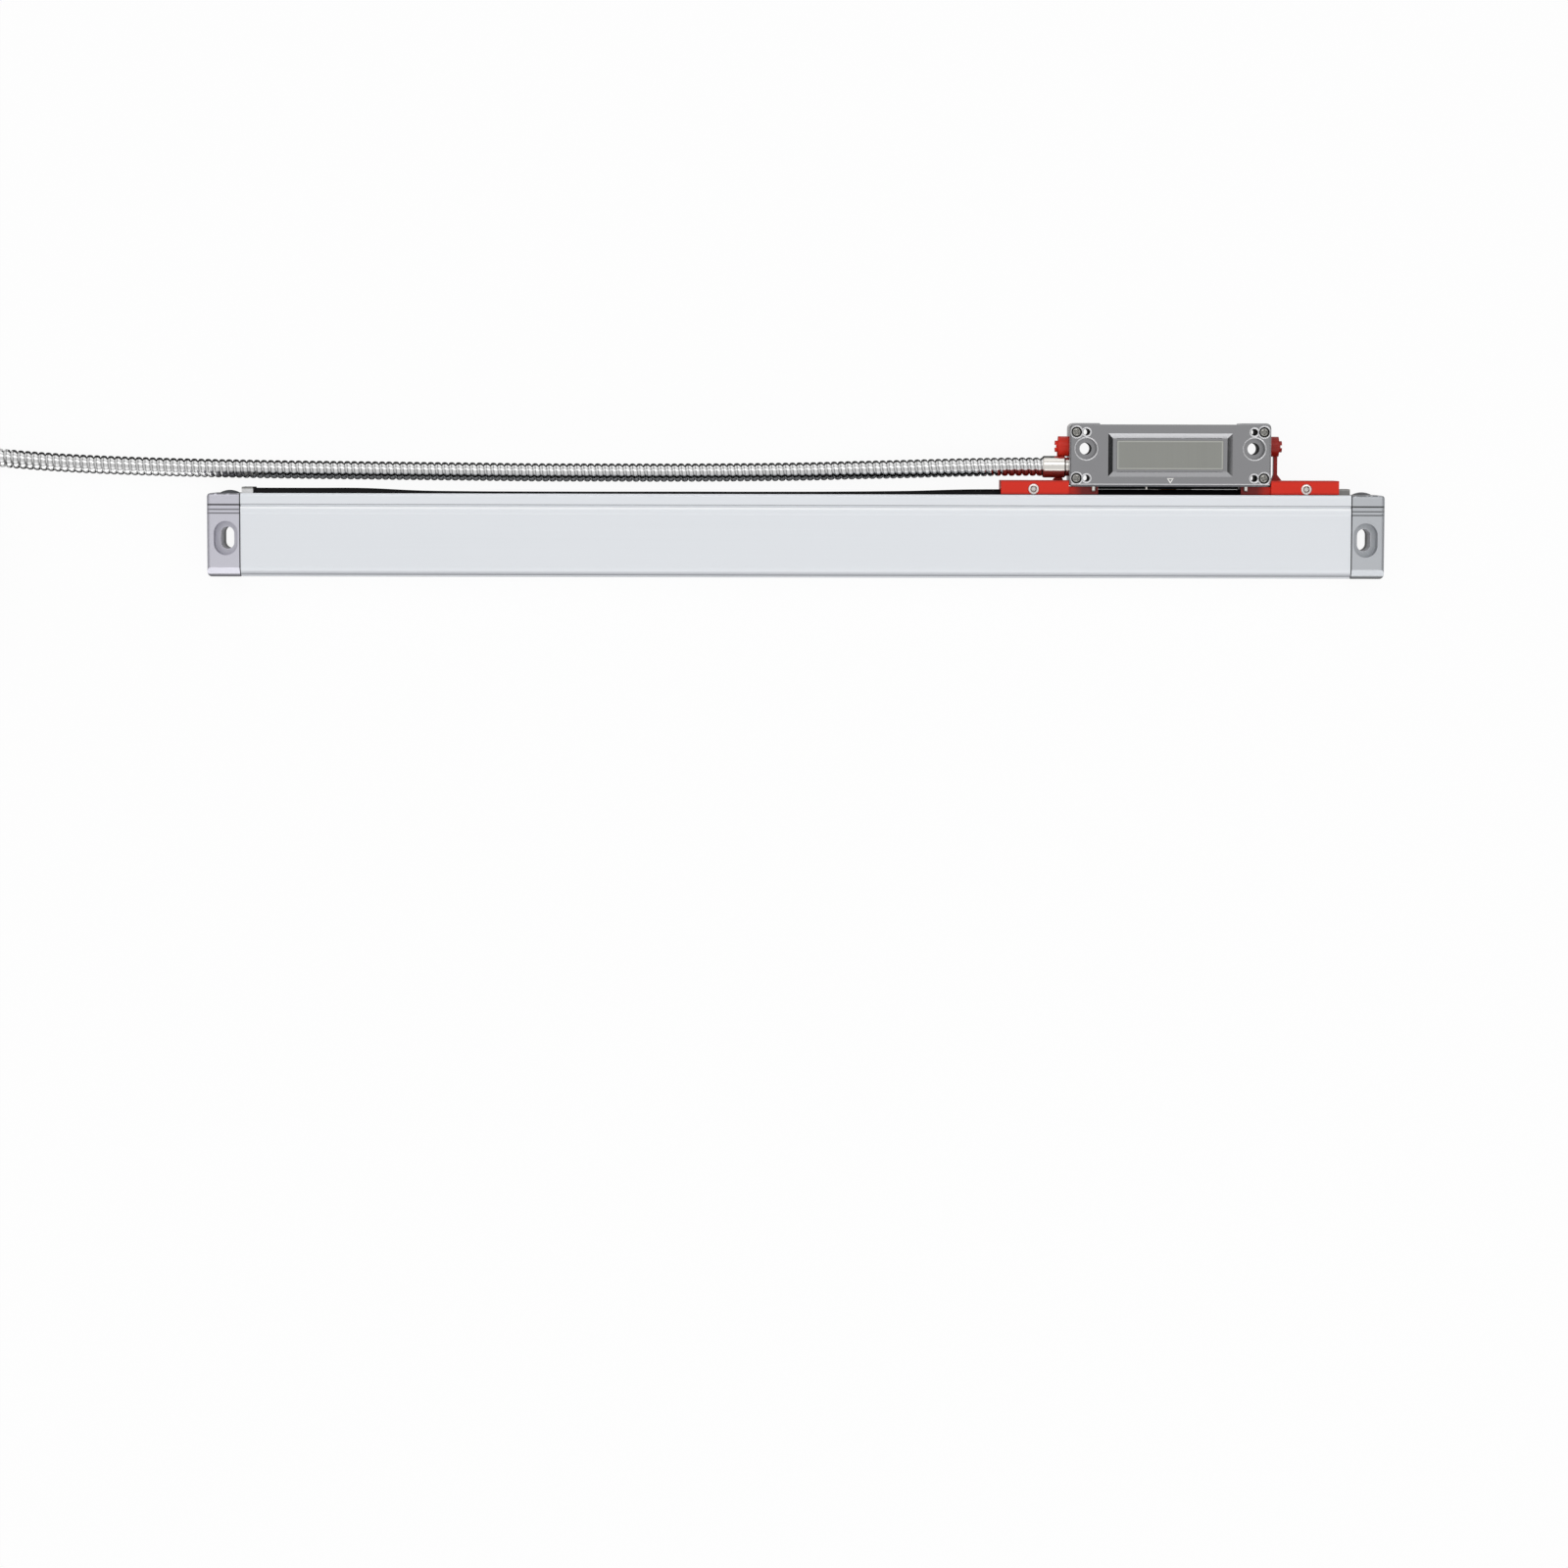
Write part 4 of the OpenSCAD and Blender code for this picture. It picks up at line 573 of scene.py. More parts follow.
# %% Shader maths as plain expressions
class Wire:
    """An output socket of a shader tree that can be added, multiplied and so on."""

    def __init__(self, tree, socket=None):
        self.tree, self.socket = tree, socket

    def node(self, kind, settings=None, inputs=None, out=0):
        """Adds a node: its type, its settings, then values or links for its inputs."""
        made = self.tree.nodes.new(kind)
        for key, value in (settings or {}).items():
            setattr(made, key, value)
        for key, value in (inputs or {}).items():
            if isinstance(value, Wire):
                self.tree.links.new(value.socket, made.inputs[key])
            else:
                made.inputs[key].default_value = value
        return Wire(self.tree, made.outputs[out] if made.outputs else None)

    def calc(self, operation, *others):
        """Adds a Math node with this value first."""
        return self.node("ShaderNodeMath", {"operation": operation},
                         dict(enumerate((self,) + others)))

    __add__ = __radd__ = partialmethod(calc, "ADD")
    __mul__ = __rmul__ = partialmethod(calc, "MULTIPLY")
    __sub__ = partialmethod(calc, "SUBTRACT")
    __gt__ = partialmethod(calc, "GREATER_THAN")
    __lt__ = partialmethod(calc, "LESS_THAN")
    __abs__ = partialmethod(calc, "ABSOLUTE")
    larger = partialmethod(calc, "MAXIMUM")
    smaller = partialmethod(calc, "MINIMUM")
    sine = partialmethod(calc, "SINE")

    def __rsub__(self, other):
        return (self * -1) + other

    def ramp(self, low, high):
        """0 below low, 1 above high, evenly rising between."""
        return ((self - low) * (1 / (high - low))).larger(0.0).smaller(1.0)

    def spread(self, low, high):
        """A value from 0 to 1 spread from low to high."""
        return self * (high - low) + low

    def mix(self, first, second):
        """The first colour where this value is 0, the second where it is 1."""
        return self.node("ShaderNodeMix", {"data_type": "RGBA"},
                         {0: self, 6: first, 7: second}, out=2)

    def noise(self, scale, detail=3.0):
        """Noise from 0 to 1 over these coordinates."""
        return self.node("ShaderNodeTexNoise", {}, {
            "Vector": self, "Scale": scale, "Detail": detail, "Roughness": 0.55})

    def stretch(self, factors):
        """Coordinates multiplied per axis, so a pattern gets long along one axis."""
        return self.node("ShaderNodeMapping", {}, {"Vector": self, "Scale": factors})

    def bump(self, strength, distance):
        """A normal that is tilted as if this value were a height."""
        return self.node("ShaderNodeBump", {}, {
            "Height": self, "Strength": strength, "Distance": distance})

    def mm(self, axis):
        """One of these coordinates, in millimetres."""
        return self.node("ShaderNodeSeparateXYZ", {}, {0: self}, out=axis) * (1 / MM)

    def carried(self, name):
        """A value that the mesh carries at its points."""
        return self.node("ShaderNodeAttribute", {"attribute_name": name}, out="Fac")


def colour(r, g, b):
    """A colour written in ordinary screen values from 0 to 255, as linear light."""
    c = np.array([r, g, b]) / 255
    linear = np.where(c <= 0.04045, c / 12.92, ((c + 0.055) / 1.055) ** 2.4)
    return tuple(float(v) for v in linear) + (1.0,)


# %% [markdown]
# ## The white table
#
# The object lies on a white table in a light tent. Table and sky are white to the camera,
# but the sky lights the object only softly. The Light Path node tells the rays apart, so no
# lamp has to be turned up until pale metal burns out. The table takes a small share of its
# tone from the light that falls on it, and so it keeps a trace of the object's shadow.


# %% Sky and table
def seen_mask(tree, in_gloss=1.0):
    """1 for rays from the camera, in_gloss for rays off gloss or through glass, 0 for light."""
    seen, gloss, through = (Wire(tree).node("ShaderNodeLightPath", out=f"Is {kind} Ray")
                            for kind in ("Camera", "Glossy", "Transmission"))
    return seen.larger(gloss * in_gloss).larger(through * in_gloss)


SKY_LIGHT = 0.45
TABLE_HALF = 6.0
TABLE_Z = -0.2 * MM
TABLE_GLOW = 0.93  # how much of the seen table is plain white, without shadows
TABLE_IN_GLOSS = 0.4
WHITE = (1, 1, 1, 1)
PAPER = (0.96, 0.96, 0.96, 1)

world = bpy.data.worlds.new("sky")
bpy.context.scene.world = world
world.use_nodes = True
tree = world.node_tree
tree.nodes.clear()
background = Wire(tree).node("ShaderNodeBackground", {}, {
    "Color": WHITE, "Strength": seen_mask(tree).spread(SKY_LIGHT, 1.0)})
background.node("ShaderNodeOutputWorld", {}, {"Surface": background})

table = new_mesh_object("table", np.array(
    [[x, y, TABLE_Z] for y in (-TABLE_HALF, TABLE_HALF) for x in (-TABLE_HALF, TABLE_HALF)]),
    np.array([[0, 1, 3, 2]]))
table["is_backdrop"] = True
table_finish = bpy.data.materials.new("white_table")
table_finish.use_nodes = True
tree = table_finish.node_tree
tree.nodes.clear()
paper = Wire(tree).node("ShaderNodeBsdfDiffuse", {}, {"Color": PAPER})
glow = Wire(tree).node("ShaderNodeEmission", {}, {"Color": WHITE, "Strength": 1.0})
mixed = glow.node("ShaderNodeMixShader", {}, {
    0: seen_mask(tree, TABLE_IN_GLOSS) * TABLE_GLOW, 1: paper, 2: glow})
mixed.node("ShaderNodeOutputMaterial", {}, {"Surface": mixed})
table.data.materials.append(table_finish)
bpy.context.scene.view_settings.view_transform = "Standard"
print(f"table {2 * TABLE_HALF:.0f} m wide, sky lights with {SKY_LIGHT:.0%} of its white")

# %% [markdown]
# ## The lamps
#
# Two large lamps do the lighting: one hangs over the table, one stands at the near side.
# They are so large that no shadow has a hard edge. The other four are long strips that light
# nothing matt, but show as bright bands in whatever is polished. So the tone of plastic and
# paint can be set apart from the shine of steel.


# %% Lamps
def face_towards(thing, place, aim):
    """Puts a panel at a place, turned so that its -Z side faces a point."""
    away = np.array(place) - np.array(aim)
    thing.location = place
    thing.rotation_euler = (math.atan2(math.hypot(away[0], away[1]), away[2]), 0,
                            math.atan2(away[0], -away[1]))


def soft_lamp(name, place, size, glow, shown_in):
    """A rectangular lamp that faces the object, with the brightness of its face given."""
    data = bpy.data.lights.new(name, "AREA")
    data.shape = "RECTANGLE"
    data.size, data.size_y = size
    data.energy = glow * math.pi * size[0] * size[1]
    lamp = bpy.data.objects.new(name, data)
    bpy.context.scene.collection.objects.link(lamp)
    face_towards(lamp, place, (0, 0, 0))
    lamp.visible_glossy = shown_in == "glossy"
    lamp.visible_diffuse = shown_in == "matt"
    print(f"{name}: {data.energy:.1f} W for {shown_in} surfaces")


soft_lamp("overhead", (0.05, 0.1, 1.9), (3.2, 2.4), 0.86, "matt")
soft_lamp("near_fill", (0.0, -1.6, 0.8), (2.4, 0.8), 0.8, "matt")
soft_lamp("near_strip", (0.0, -1.5, 0.27), (2.4, 0.5), 2.4, "glossy")
soft_lamp("far_strip", (0.0, 1.5, 0.27), (2.4, 0.5), 0.7, "glossy")
soft_lamp("far_high", (0.0, 1.05, 1.45), (2.4, 0.6), 1.7, "glossy")
soft_lamp("near_high", (0.0, -1.0, 1.5), (2.4, 0.5), 0.7, "glossy")

# %% [markdown]
# ## Dark cards
#
# Bright metal in a white room has no shape, because it has only white to mirror. Dark cards
# give it something else. Two start on the table past both ends and fold up, which darkens the
# sides of the sunk panel. Two narrow ones lie on the table, beside the hose and beside the
# lips, and draw the dark line along the hose. The camera, the shadows and matt light don't
# see them.

# %% Cards
card_finish = bpy.data.materials.new("dark_card")
card_finish.use_nodes = True
card_shader = card_finish.node_tree.nodes["Principled BSDF"]
card_shader.inputs["Base Color"].default_value = (0.03, 0.03, 0.03, 1)
card_shader.inputs["Roughness"].default_value = 1.0


def dark_card(name, points, rows, columns):
    """A card that only shows in reflections, from rows of points that run along X."""
    card = new_mesh_object(name, np.array(points, float), faces_of_grid(rows, columns, False))
    card.visible_camera = card.visible_diffuse = card.visible_shadow = False
    card.data.materials.append(card_finish)
    card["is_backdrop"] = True
    print(f"{name}: {len(card.data.polygons)} faces")


CARD_HALF = 0.7  # half of a folded card's width, along Y
FOLDED_Z = 1 * MM
FLAT_Z = 0.3 * MM
FLAT_LEFT = -0.30
for name, near, far, high in (("card_right", 0.30, 1.3, 0.8), ("card_left", -0.45, -1.3, 0.65)):
    profile = [(near, FOLDED_Z), (far, FOLDED_Z), (far * 1.1, high)]
    dark_card(name, [(x, y, z) for y in (-CARD_HALF, CARD_HALF) for x, z in profile], 2, 3)
for name, right, near, far in (("card_far", 0.101, 0.029, 0.056),
                               ("card_lip", 0.075, 0.0172, 0.026)):
    dark_card(name, [(x, y, FLAT_Z) for y in (near, far) for x in (FLAT_LEFT, right)], 2, 2)

# %% [markdown]
# ## Finishes
#
# Each finish is a Principled shader with a pattern at its real scale, read from the
# object's own coordinates. A fine even noise makes the skin of a casting or a moulding. Noise
# that is stretched along one axis makes the streaks that drawing, extruding or brushing
# leave. What is the same all over a surface is set on the shader itself.


# %% A maker for finishes
finishes = {}


def finish(name, pattern, **constants):
    """Adds a material; pattern(where) returns the links for what varies over the surface."""
    material = bpy.data.materials.new(name)
    material.use_nodes = True
    tree = material.node_tree
    shader = tree.nodes["Principled BSDF"]
    for label, value in constants.items():
        shader.inputs[label.replace("_", " ")].default_value = value
    where = Wire(tree).node("ShaderNodeTexCoord", out="Object")
    for label, link in pattern(where).items():
        tree.links.new(link.socket, shader.inputs[label])
    finishes[name] = material
    print(f"{name}: {len(tree.nodes)} nodes")


def shaded(base, factor):
    """A colour made darker or lighter, up to white."""
    return tuple(min(1, c * factor) for c in base[:3]) + (1,)


def speckled(base, amount, scale, roughness, bump=(0.2, 0.00003)):
    """A pattern of even fine noise: colour, roughness and a low bump all follow it."""
    def pattern(where):
        fine = where.noise(scale)
        broad = where.noise(scale / 40, detail=2)
        tone = fine * 0.6 + broad * 0.4
        return {"Base Color": tone.mix(shaded(base, 1 - amount), shaded(base, 1 + amount)),
                "Roughness": fine.spread(roughness - 0.05, roughness + 0.05),
                "Normal": fine.bump(*bump)}
    return pattern


def drawn(base, amount, roughness, along="X", scale=1500):
    """A pattern of long fine streaks, as drawing, extruding or brushing leaves them."""
    def pattern(where):
        factors = [6 if axis == along else scale for axis in "XYZ"]
        streak = where.stretch(factors).noise(1.0, detail=2)
        tone = streak * 0.7 + where.noise(30, detail=2) * 0.3
        return {"Base Color": tone.mix(shaded(base, 1 - amount), shaded(base, 1 + amount)),
                "Roughness": streak.spread(roughness - 0.06, roughness + 0.06),
                "Normal": streak.bump(0.15, 0.00002)}
    return pattern


# %% [markdown]
# ## Masks
#
# Most finishes know the shape of their piece. A chamfer gets a painted highlight, and a deep
# bore gets painted shade. Such a place is a mask: a number that is 1 where the coordinates
# fall inside it and 0 elsewhere, used to mix a second colour in. Masks need no picture, so
# they stay sharp up close. Most pieces are the same on both sides of a middle, so the
# coordinates are folded there and each place is given once.


# %% Masks
def folded(where, middle_x, middle_y):
    """How far a point lies from a middle along X and along Y, without sign, in millimetres."""
    return abs(where.mm("X") - middle_x), abs(where.mm("Y") - middle_y)


def inside_circle(x, y, centre, radius):
    """1 where (x, y) is nearer to a centre than a radius."""
    across = x - centre[0]
    along = y - centre[1]
    return (across * across + along * along) < radius ** 2


# %% [markdown]
# ## The head's coated casting
#
# Head and cover are cast, then coated grey. The chamfers of the holes and a line along the
# cover's near edge get a painted highlight, and so do the near chamfer and the cover's ends,
# broken up by noise. The bores, the gaps round the cover's screws and the base's edge under
# the cover get painted shade.

# %% Finish of the head
HEAD_GREY = colour(136, 136, 138)
JACK_HOLES = 31.65, 8.7  # how far they stand from the middle of the corner holes
BOLTS_Y = 34.3  # the middle of the head's own two mounting holes
BOLTS = 31.75, 0
HEAD_HALF = (cover_high.x - cover_low.x) / 2 / MM
COVER_NEAR = cover_low.y / MM
COVER_TOP = cover_high.z / MM
# middle, place, radius and width of the chamfers round the holes
CHAMFERS = [(HOLES_Y, JACK_HOLES, 1.25, 0.6), (HOLES_Y, COVER_SCREWS, 1.95, 0.5),
            (BOLTS_Y, BOLTS, 4.0, 0.45)]


def head_pattern(where):
    """Cast grey with painted highlights on chamfers and edges, and painted shade in bores, gaps
    and under the cover.
    """
    made = speckled(HEAD_GREY, 0.06, 2600, 0.22)(where)
    y, z = where.mm("Y"), where.mm("Z")
    corner = folded(where, HEAD_X, HOLES_Y)
    bolt = folded(where, HEAD_X, BOLTS_Y)
    # painted highlight: a line along the cover's near edge, and rings on the hole chamfers
    chamfer_highlight = abs(y - (COVER_NEAR + 0.85)) < 0.2
    for middle, centre, radius, width in CHAMFERS:
        x, up = folded(where, HEAD_X, middle)
        chamfer = inside_circle(x, up, centre, radius + width)
        chamfer_highlight = chamfer_highlight.larger(chamfer - inside_circle(x, up, centre, radius - 0.03))
    chamfer_highlight = chamfer_highlight * (z > COVER_TOP - 0.55)
    # painted highlight on the near chamfer and the cover's ends, broken up by noise
    near = (1 - y.ramp(COVER_NEAR + 0.45, COVER_NEAR + 0.75)) * 0.4
    edge_highlight = corner[0].ramp(HEAD_HALF - 0.7, HEAD_HALF - 0.3).larger(near)
    edge_highlight = edge_highlight * (z > COVER_TOP - 1.8) * where.noise(700).spread(0.4, 1.0)
    # painted shade under the cover, in the gaps round the cover's screws and in the bores
    under_cover_shade = (1 - y.ramp(COVER_NEAR + 0.25, COVER_NEAR + 0.75)) * (z > 4) * (z < 15.2)
    screw_gap_shade = inside_circle(*corner, COVER_SCREWS, 1.97) * (z < COVER_TOP - 0.45)
    bore_shade = inside_circle(*corner, JACK_HOLES, 1.27).larger(inside_circle(*bolt, BOLTS, 2.28))
    dark = bore_shade.larger(screw_gap_shade).larger(under_cover_shade)
    # the pale greys are painted highlights, the near black is painted shade
    grey = chamfer_highlight.mix(made["Base Color"], colour(226, 226, 228))
    grey = (edge_highlight * 0.8).mix(grey, colour(206, 206, 208))
    made["Base Color"] = dark.mix(grey, colour(22, 22, 23))
    made["Roughness"] = made["Roughness"] + dark * 0.4
    made["Metallic"] = 0.95 - chamfer_highlight.larger(edge_highlight) * 0.65
    return made


finish("head_metal", head_pattern)

# %% [markdown]
# ## The screws
#
# The cover's screws are dark steel. The two in the brackets are plated: their rim is bright,
# the socket is shaded by its own wall, and its bottom is light again.

# %% Finishes of the screws
PLATED = colour(238, 236, 232)


def socket_pattern(where):
    """Bright rim, shaded socket, lighter bottom: each a ring round the bracket screw."""
    made = speckled(PLATED, 0.06, 3000, 0.3)(where)
    x, y = folded(where, HEAD_X, BRACKET_SCREWS_Y)
    bottom = inside_circle(x, y, BRACKET_SCREWS, 0.8)
    socket = inside_circle(x, y, BRACKET_SCREWS, 1.3) - bottom * 0.7
    made["Base Color"] = socket.mix(made["Base Color"], colour(150, 136, 130))
    return made


finish("socket_screw", socket_pattern, Metallic=0.4)
for name, grey, roughness in (("screw_steel", colour(176, 173, 165), 0.34),
                              ("screw_dark", colour(138, 137, 133), 0.25)):
    finish(name, speckled(grey, 0.12, 3000, roughness), Metallic=1.0)

# %% [markdown]
# ## The end caps
#
# The caps are zinc castings with three grooves, which get painted shade as dark lines. The
# mounting slot is milled; its walls are painted light, and its bottom gets painted shade. The
# far edge is darker in spots, and the near edge, which turns away from the light, gets painted
# shade. The right cap is a little greyer.

# %% Finish of the end caps
ZINC = colour(190, 189, 198)
ZINC_RIGHT = colour(176, 179, 183)
# Y of a groove, half of its width, and how dark it is
CAP_GROOVES = ((12.6, 0.33, 1.0), (10.8, 0.27, 0.7), (9.4, 0.27, 0.7))
cap_low, cap_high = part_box("end_cap_left")
CAP_NEAR = cap_low.y / MM
CAP_FAR = cap_high.y / MM
CAP_TOP = cap_high.z / MM
SLOT = 215, 0  # how far the slots stand from the middle of the scale
SLOT_STRAIGHT = 1.7  # half of a slot's straight part
SLOT_RADIUS = 2.56


def cap_pattern(base):
    """Cast zinc with painted shade in the grooves, on the near edge and at the slot's bottom,
    painted light on the slot's walls, and darker spots on the far edge.
    """
    def pattern(where):
        made = speckled(base, 0.05, 2200, 0.4)(where)
        y, z = where.mm("Y"), where.mm("Z")
        out, up = folded(where, 0, 0)
        slot = inside_circle(out, (up - SLOT_STRAIGHT).larger(0.0), SLOT, SLOT_RADIUS)
        # painted shade along the near edge; the far edge is darker in spots
        edge = 1 - y.ramp(CAP_NEAR + 0.7, CAP_NEAR + 1.3)
        far_edge_spots = y.ramp(CAP_FAR - 0.8, CAP_FAR - 0.4) * (where.noise(500) > 0.42) * 0.7
        # painted shade at the bottom of the slot, and below, in the grooves
        dark = (slot * (1 - z.ramp(5, 6.5))).larger(far_edge_spots).larger(edge * 0.9)
        for middle, half, darkness in CAP_GROOVES:
            dark = dark.larger((abs(y - middle) < half) * (z > CAP_TOP - 0.7) * darkness)
        # the slot's walls are painted light
        grey = slot.mix(made["Base Color"], colour(232, 232, 236))
        made["Base Color"] = dark.mix(grey, shaded(base, 0.22))
        made["Metallic"] = 0.5 - slot.larger(edge) * 0.45
        made["Roughness"] = made["Roughness"] + edge * 0.3
        return made
    return pattern


for name, base in (("cast_zinc", ZINC), ("cast_zinc_right", ZINC_RIGHT)):
    finish(name, cap_pattern(base))

# %% [markdown]
# ## The extrusion
#
# The housing is pressed through a die, which leaves long faint streaks, and then anodised
# to an even, silky white. A groove in painted shade runs the whole length of its broad face,
# with a painted highlight on the bead beside it. The face curves away along the near edge, and
# painted shade makes it grey there.

# %% Finish of the extrusion
ANODISED = colour(220, 223, 227)
BEAD_Y, BEAD_HALF = 11.55, 0.4
GROOVE_Y, GROOVE_HALF = 12.6, 0.35
HOUSING_NEAR = housing_low.y / MM
HOUSING_TOP = housing_high.z / MM


def extruded_pattern(where):
    """Drawn streaks, a groove in painted shade with a painted highlight on its bead, and painted
    shade on the near edge.
    """
    made = drawn(ANODISED, 0.02, 0.5)(where)
    y, z = where.mm("Y"), where.mm("Z")
    on_top = z > HOUSING_TOP - 0.5
    # a painted highlight on the bead and painted shade in the groove
    bead_highlight = (abs(y - BEAD_Y) < BEAD_HALF) * on_top
    groove = (abs(y - GROOVE_Y) < GROOVE_HALF) * on_top
    # painted shade where the face curves away along the near edge
    edge = 1 - y.ramp(HOUSING_NEAR + 0.8, HOUSING_NEAR + 2.6)
    grey = (bead_highlight * 0.5).mix(made["Base Color"], colour(240, 241, 242))
    grey = groove.mix(grey, colour(128, 129, 132))
    made["Base Color"] = (edge * (z > HOUSING_TOP - 2)).mix(grey, colour(140, 142, 148))
    made["Metallic"] = 0.35 - edge * 0.3
    return made


finish("anodised_aluminium", extruded_pattern, Specular_IOR_Level=0.3)

# %% [markdown]
# ## Small metal, glass and plate
#
# The clamps at the ends of the lips are bright, with a duller far edge. The glass carries a
# chrome track, ruled across, that the head reads: a sine over X is above zero for half of
# each period, which makes line and gap alike. The bare plate on the cover is brushed across
# and has a lighter line inside its edge. Turned steel only has fine streaks.

# %% Finishes of clamps, glass, plate and turned steel
CLAMP = colour(206, 206, 206)
PLATE = colour(137, 138, 133)
PLATE_Y = 31.95
PLATE_HALF = 20.1, 5.5
STEEL = colour(206, 203, 198)
GLASS_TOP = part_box("glass_scale")[1].y / MM


def clamp_pattern(where):
    """Bright metal; the far edge is duller, and so is the whole clamp on the right."""
    made = speckled(CLAMP, 0.2, 3500, 0.34, (0.6, 0.0001))(where)
    dull = where.mm("Y").ramp(18.2, 18.8).larger(where.mm("X") > 0.0)
    made["Base Color"] = (dull * 0.85).mix(made["Base Color"], colour(96, 95, 92))
    return made


def ruled_pattern(where):
    """Clear glass with a grey chrome track near its upper edge, ruled every 8 mm."""
    track = abs(where.mm("Y") - (GLASS_TOP - 4.5)) < 1.6
    rule = (where.mm("X") * 0.785).sine() > 0.0
    grey = (track * (0.7 + rule * 0.3)).mix(colour(225, 240, 236), colour(118, 124, 128))
    return {"Base Color": grey, "Roughness": where.noise(400).spread(0.03, 0.08)}


def plate_pattern(where):
    """Brushed across, with a lighter line about 0.4 mm inside the edge."""
    made = drawn(PLATE, 0.05, 0.42, "Y", 1800)(where)
    x, y = folded(where, HEAD_X, PLATE_Y)
    inset = (PLATE_HALF[0] - x).smaller(PLATE_HALF[1] - y)
    border = abs(inset - 0.42) < 0.16
    made["Base Color"] = border.mix(made["Base Color"], colour(172, 173, 167))
    return made


finish("clamp_metal", clamp_pattern, Metallic=0.9)
finish("glass", ruled_pattern, Transmission_Weight=0.9, IOR=1.5)
finish("plate", plate_pattern, Metallic=0.3)
finish("steel", drawn(STEEL, 0.05, 0.2, "Y", 2500), Metallic=1.0)

# %% [markdown]
# ## The red brackets
#
# The brackets are moulded from a red plastic with a satin skin. Painted shade darkens them
# along the edges of their feet, under the head as its shadow, and on the right arm. Its mask
# is mixed in at part strength.

# %% Finish of the brackets
RED = colour(222, 44, 24)
FOOT_Y = 19.7  # the middle of a foot
ARM_Y = 22.6  # the arms stand above this


def moulded_pattern(where):
    """Red plastic with painted shade: the head's shadow, the feet's edges and the right arm."""
    made = speckled(RED, 0.05, 1300, 0.36, (0.1, 0.00003))(where)
    x, y = where.mm("X"), where.mm("Y")
    # painted shade: the head's shadow on the feet, the feet's edges and the right arm
    head_shadow = (1 - abs(x - HEAD_X).ramp(33, 38)) * 0.85
    foot_edge_shade = abs(y - FOOT_Y).ramp(1.7, 2.6) * (y < ARM_Y) * 0.45
    right_arm_shade = (y > ARM_Y) * (x > HEAD_X) * 0.6
    bracket_shade = head_shadow.larger(foot_edge_shade).larger(right_arm_shade)
    made["Base Color"] = bracket_shade.mix(made["Base Color"], colour(84, 26, 26))
    return made


finish("bracket_plastic", moulded_pattern, Specular_IOR_Level=0.25)

# %% [markdown]
# ## The hose
#
# The hose is bright stainless strip. The groove between two windings gets painted shade, and
# so does the line where the strip's edge is folded over. No two windings catch the light
# alike. So the colour follows the values that the mesh carries. Full metal has no matt
# share, and that lets the dark cards draw a truly dark line along it.


# %% Finish of the hose
def hose_pattern(where):
    """Each winding has its own tone; the fold and the groove get painted shade."""
    winding = where.node("ShaderNodeTexNoise", {"noise_dimensions": "1D"},
                         {"W": where.carried("along") * 330, "Scale": 1.0, "Detail": 2.0})
    fine = where.noise(1800)
    bright = (winding * 0.7 + fine * 0.3).mix(colour(186, 186, 186), colour(220, 220, 220))
    # painted shade on the fold and in the groove
    fold_shade = where.carried("fold_shade").ramp(0.45, 0.95) * 0.75
    bright = fold_shade.mix(bright, colour(70, 70, 70))
    return {"Base Color": where.carried("groove").mix(bright, colour(108, 108, 108)),
            "Roughness": (winding * 0.5 + fine * 0.5).spread(0.12, 0.26)}


finish("hose_steel", hose_pattern, Metallic=1.0)

# %% [markdown]
# ## Everything else
#
# The other rubber, plastic and metal has one even skin each, so a table serves them all.
# Even black rubber is never one flat black: its tone wanders a little, and its grain breaks
# the shine. The lips are the blackest, with hardly any gloss.

# %% Plain finishes
LOW_BUMP = 0.15, 0.00002
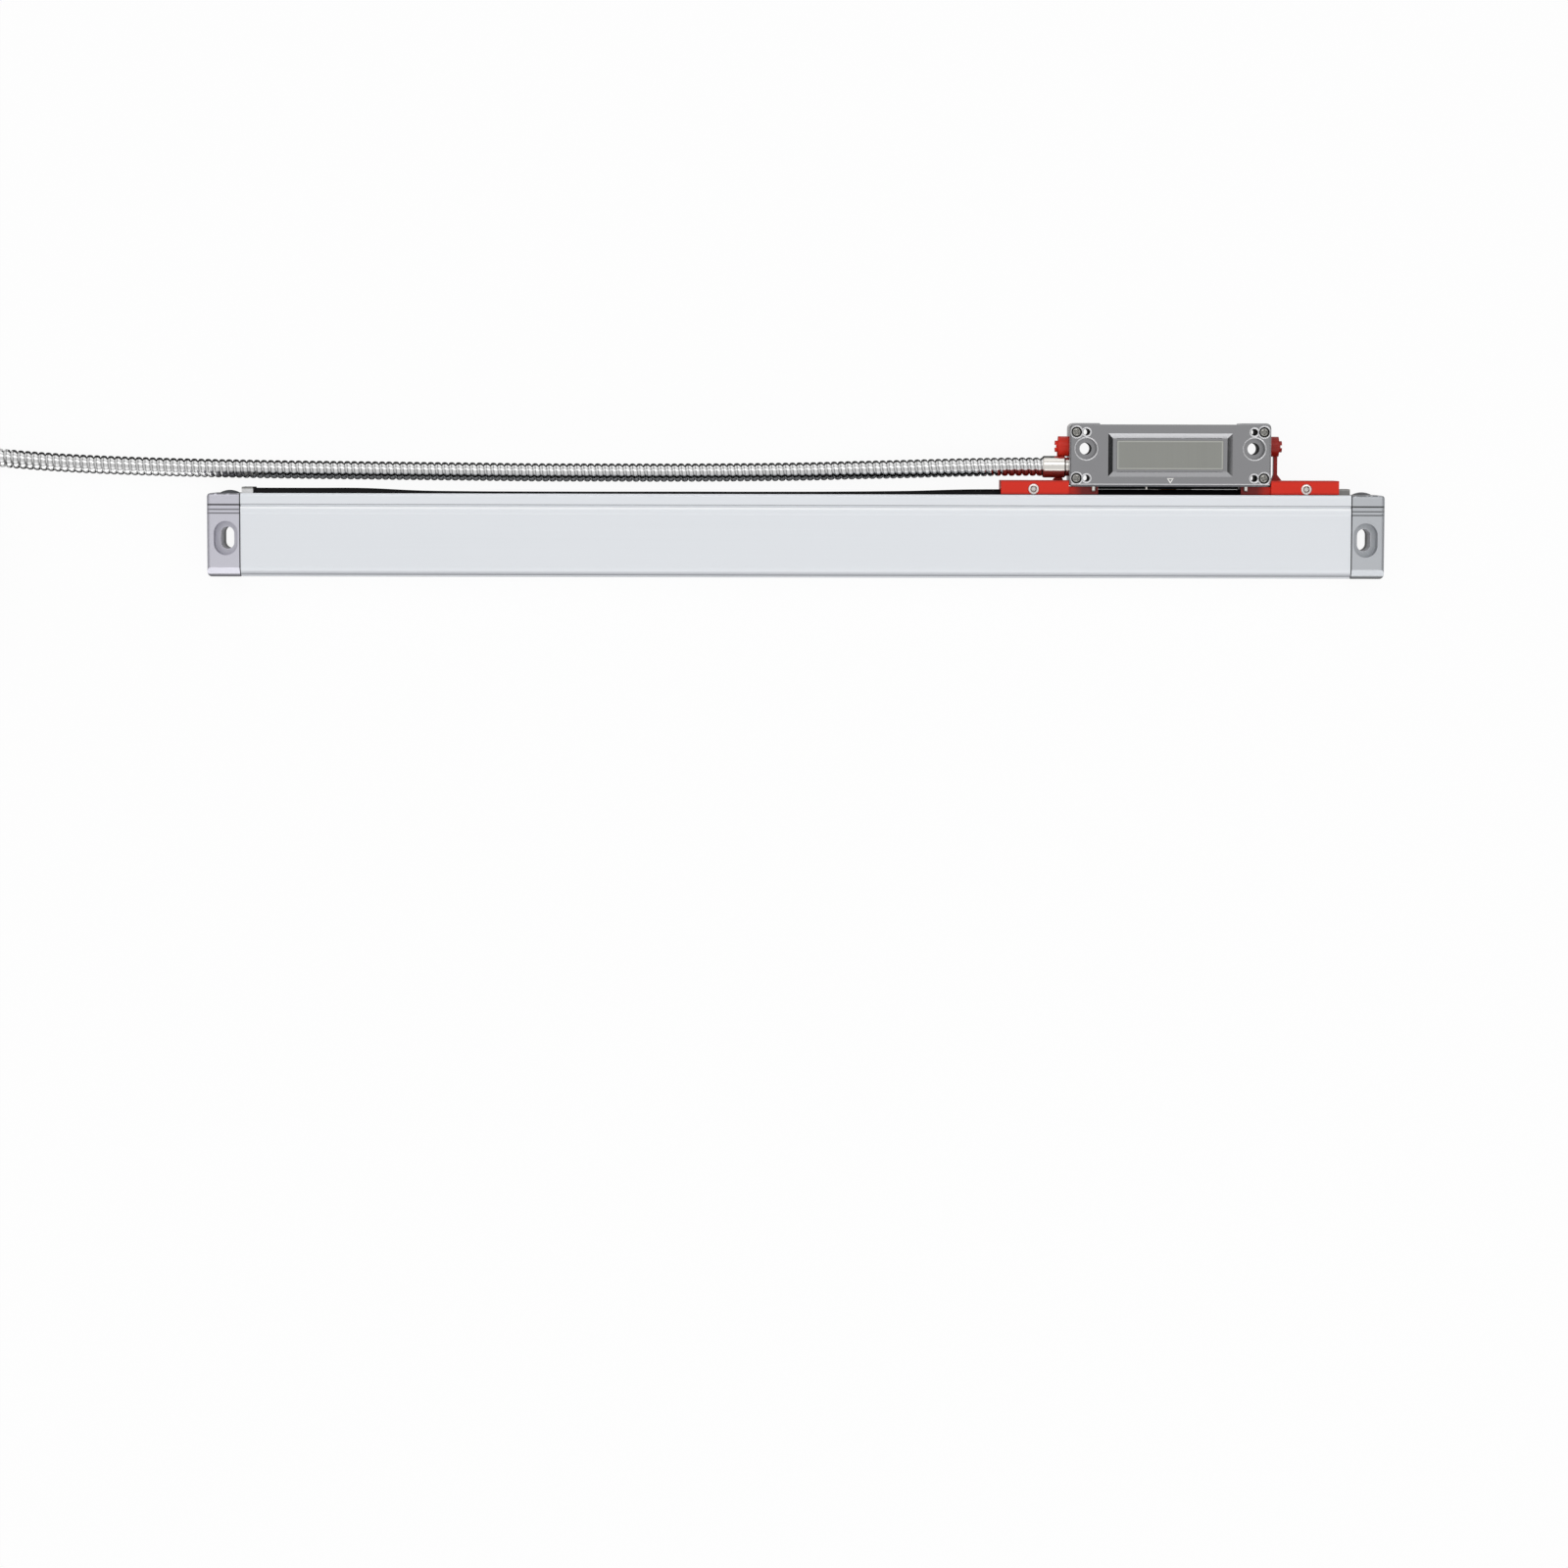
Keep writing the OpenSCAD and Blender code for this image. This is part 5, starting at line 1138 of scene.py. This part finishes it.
# colour, roughness, how metallic, how far the tone wanders, grains per metre
PLAIN = {
    "gasket_rubber": ((34, 34, 36), 0.7, 0.0, 0.2, 900),
    "bond": ((60, 60, 63), 0.5, 0.0, 0.15, 900),
    "plug_plastic": ((74, 76, 80), 0.5, 0.0, 0.1, 900),
    "spring_steel": ((206, 202, 190), 0.3, 1.0, 0.05, 900),
    "board": ((30, 96, 62), 0.45, 0.0, 0.2, 1500),
    "carriage_plastic": ((48, 48, 50), 0.5, 0.0, 0.15, 900),
    "flex": ((196, 128, 44), 0.35, 0.0, 0.1, 900),
    "cable_jacket": ((30, 30, 32), 0.5, 0.0, 0.15, 900),
    "tie_plastic": ((28, 28, 29), 0.5, 0.0, 0.2, 900),
    "shell_metal": ((214, 210, 198), 0.28, 1.0, 0.05, 900),
    "insulator": ((26, 26, 27), 0.45, 0.0, 0.15, 900),
    "contact_metal": ((228, 190, 104), 0.22, 1.0, 0.05, 900),
    "mark_paint": ((236, 236, 232), 0.5, 0.0, 0.03, 900),
}
for name, (rgb, roughness, metallic, amount, grain) in PLAIN.items():
    skin = speckled(colour(*rgb), amount, grain, roughness, LOW_BUMP)
    finish(name, skin, Metallic=metallic)
finish("seal_rubber", speckled(colour(7, 7, 8), 0.25, 1200, 0.65, LOW_BUMP),
       Specular_IOR_Level=0.12)
finish("hood_metal", speckled(colour(178, 180, 182), 0.07, 2000, 0.36), Metallic=0.8)
print(f"{len(finishes)} finishes")

# %% [markdown]
# ## Dressing
#
# The record of the CAD model names a finish for each of its nodes, so most pieces are
# dressed by a loop. The pieces made here get theirs by name.


# %% Give every piece its finish
def dress(thing, material):
    """The object's mesh shows this one material."""
    thing.data.materials.clear()
    thing.data.materials.append(material)


slot_of = {row["node"]: row["material_slot"] for row in frame["record"]["subparts"]}
for node, thing in [*frame["nodes"].items(), *soft_pieces.items()]:
    dress(thing, finishes[slot_of[node]])
dress(frame["nodes"]["end_cap_right"], finishes["cast_zinc_right"])
for name, slot in (("armoured_hose", "hose_steel"), ("lip_front", "seal_rubber"),
                   ("lip_rear", "seal_rubber"), ("cover_screw_heads", "screw_dark"),
                   ("bracket_screw_heads", "socket_screw"), ("index_mark", "mark_paint")):
    dress(bpy.data.objects[name], finishes[slot])
print(f"{len(slot_of)} nodes and {len(soft_pieces) + 6} new pieces dressed")

# %% [markdown]
# ## Sizes
#
# The dressed object has to be as large as the CAD model, so the box of the dressed object is
# printed.

# %% Size of the dressed object
low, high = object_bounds()
print("visual box", [round(v, 4) for v in low], [round(v, 4) for v in high])
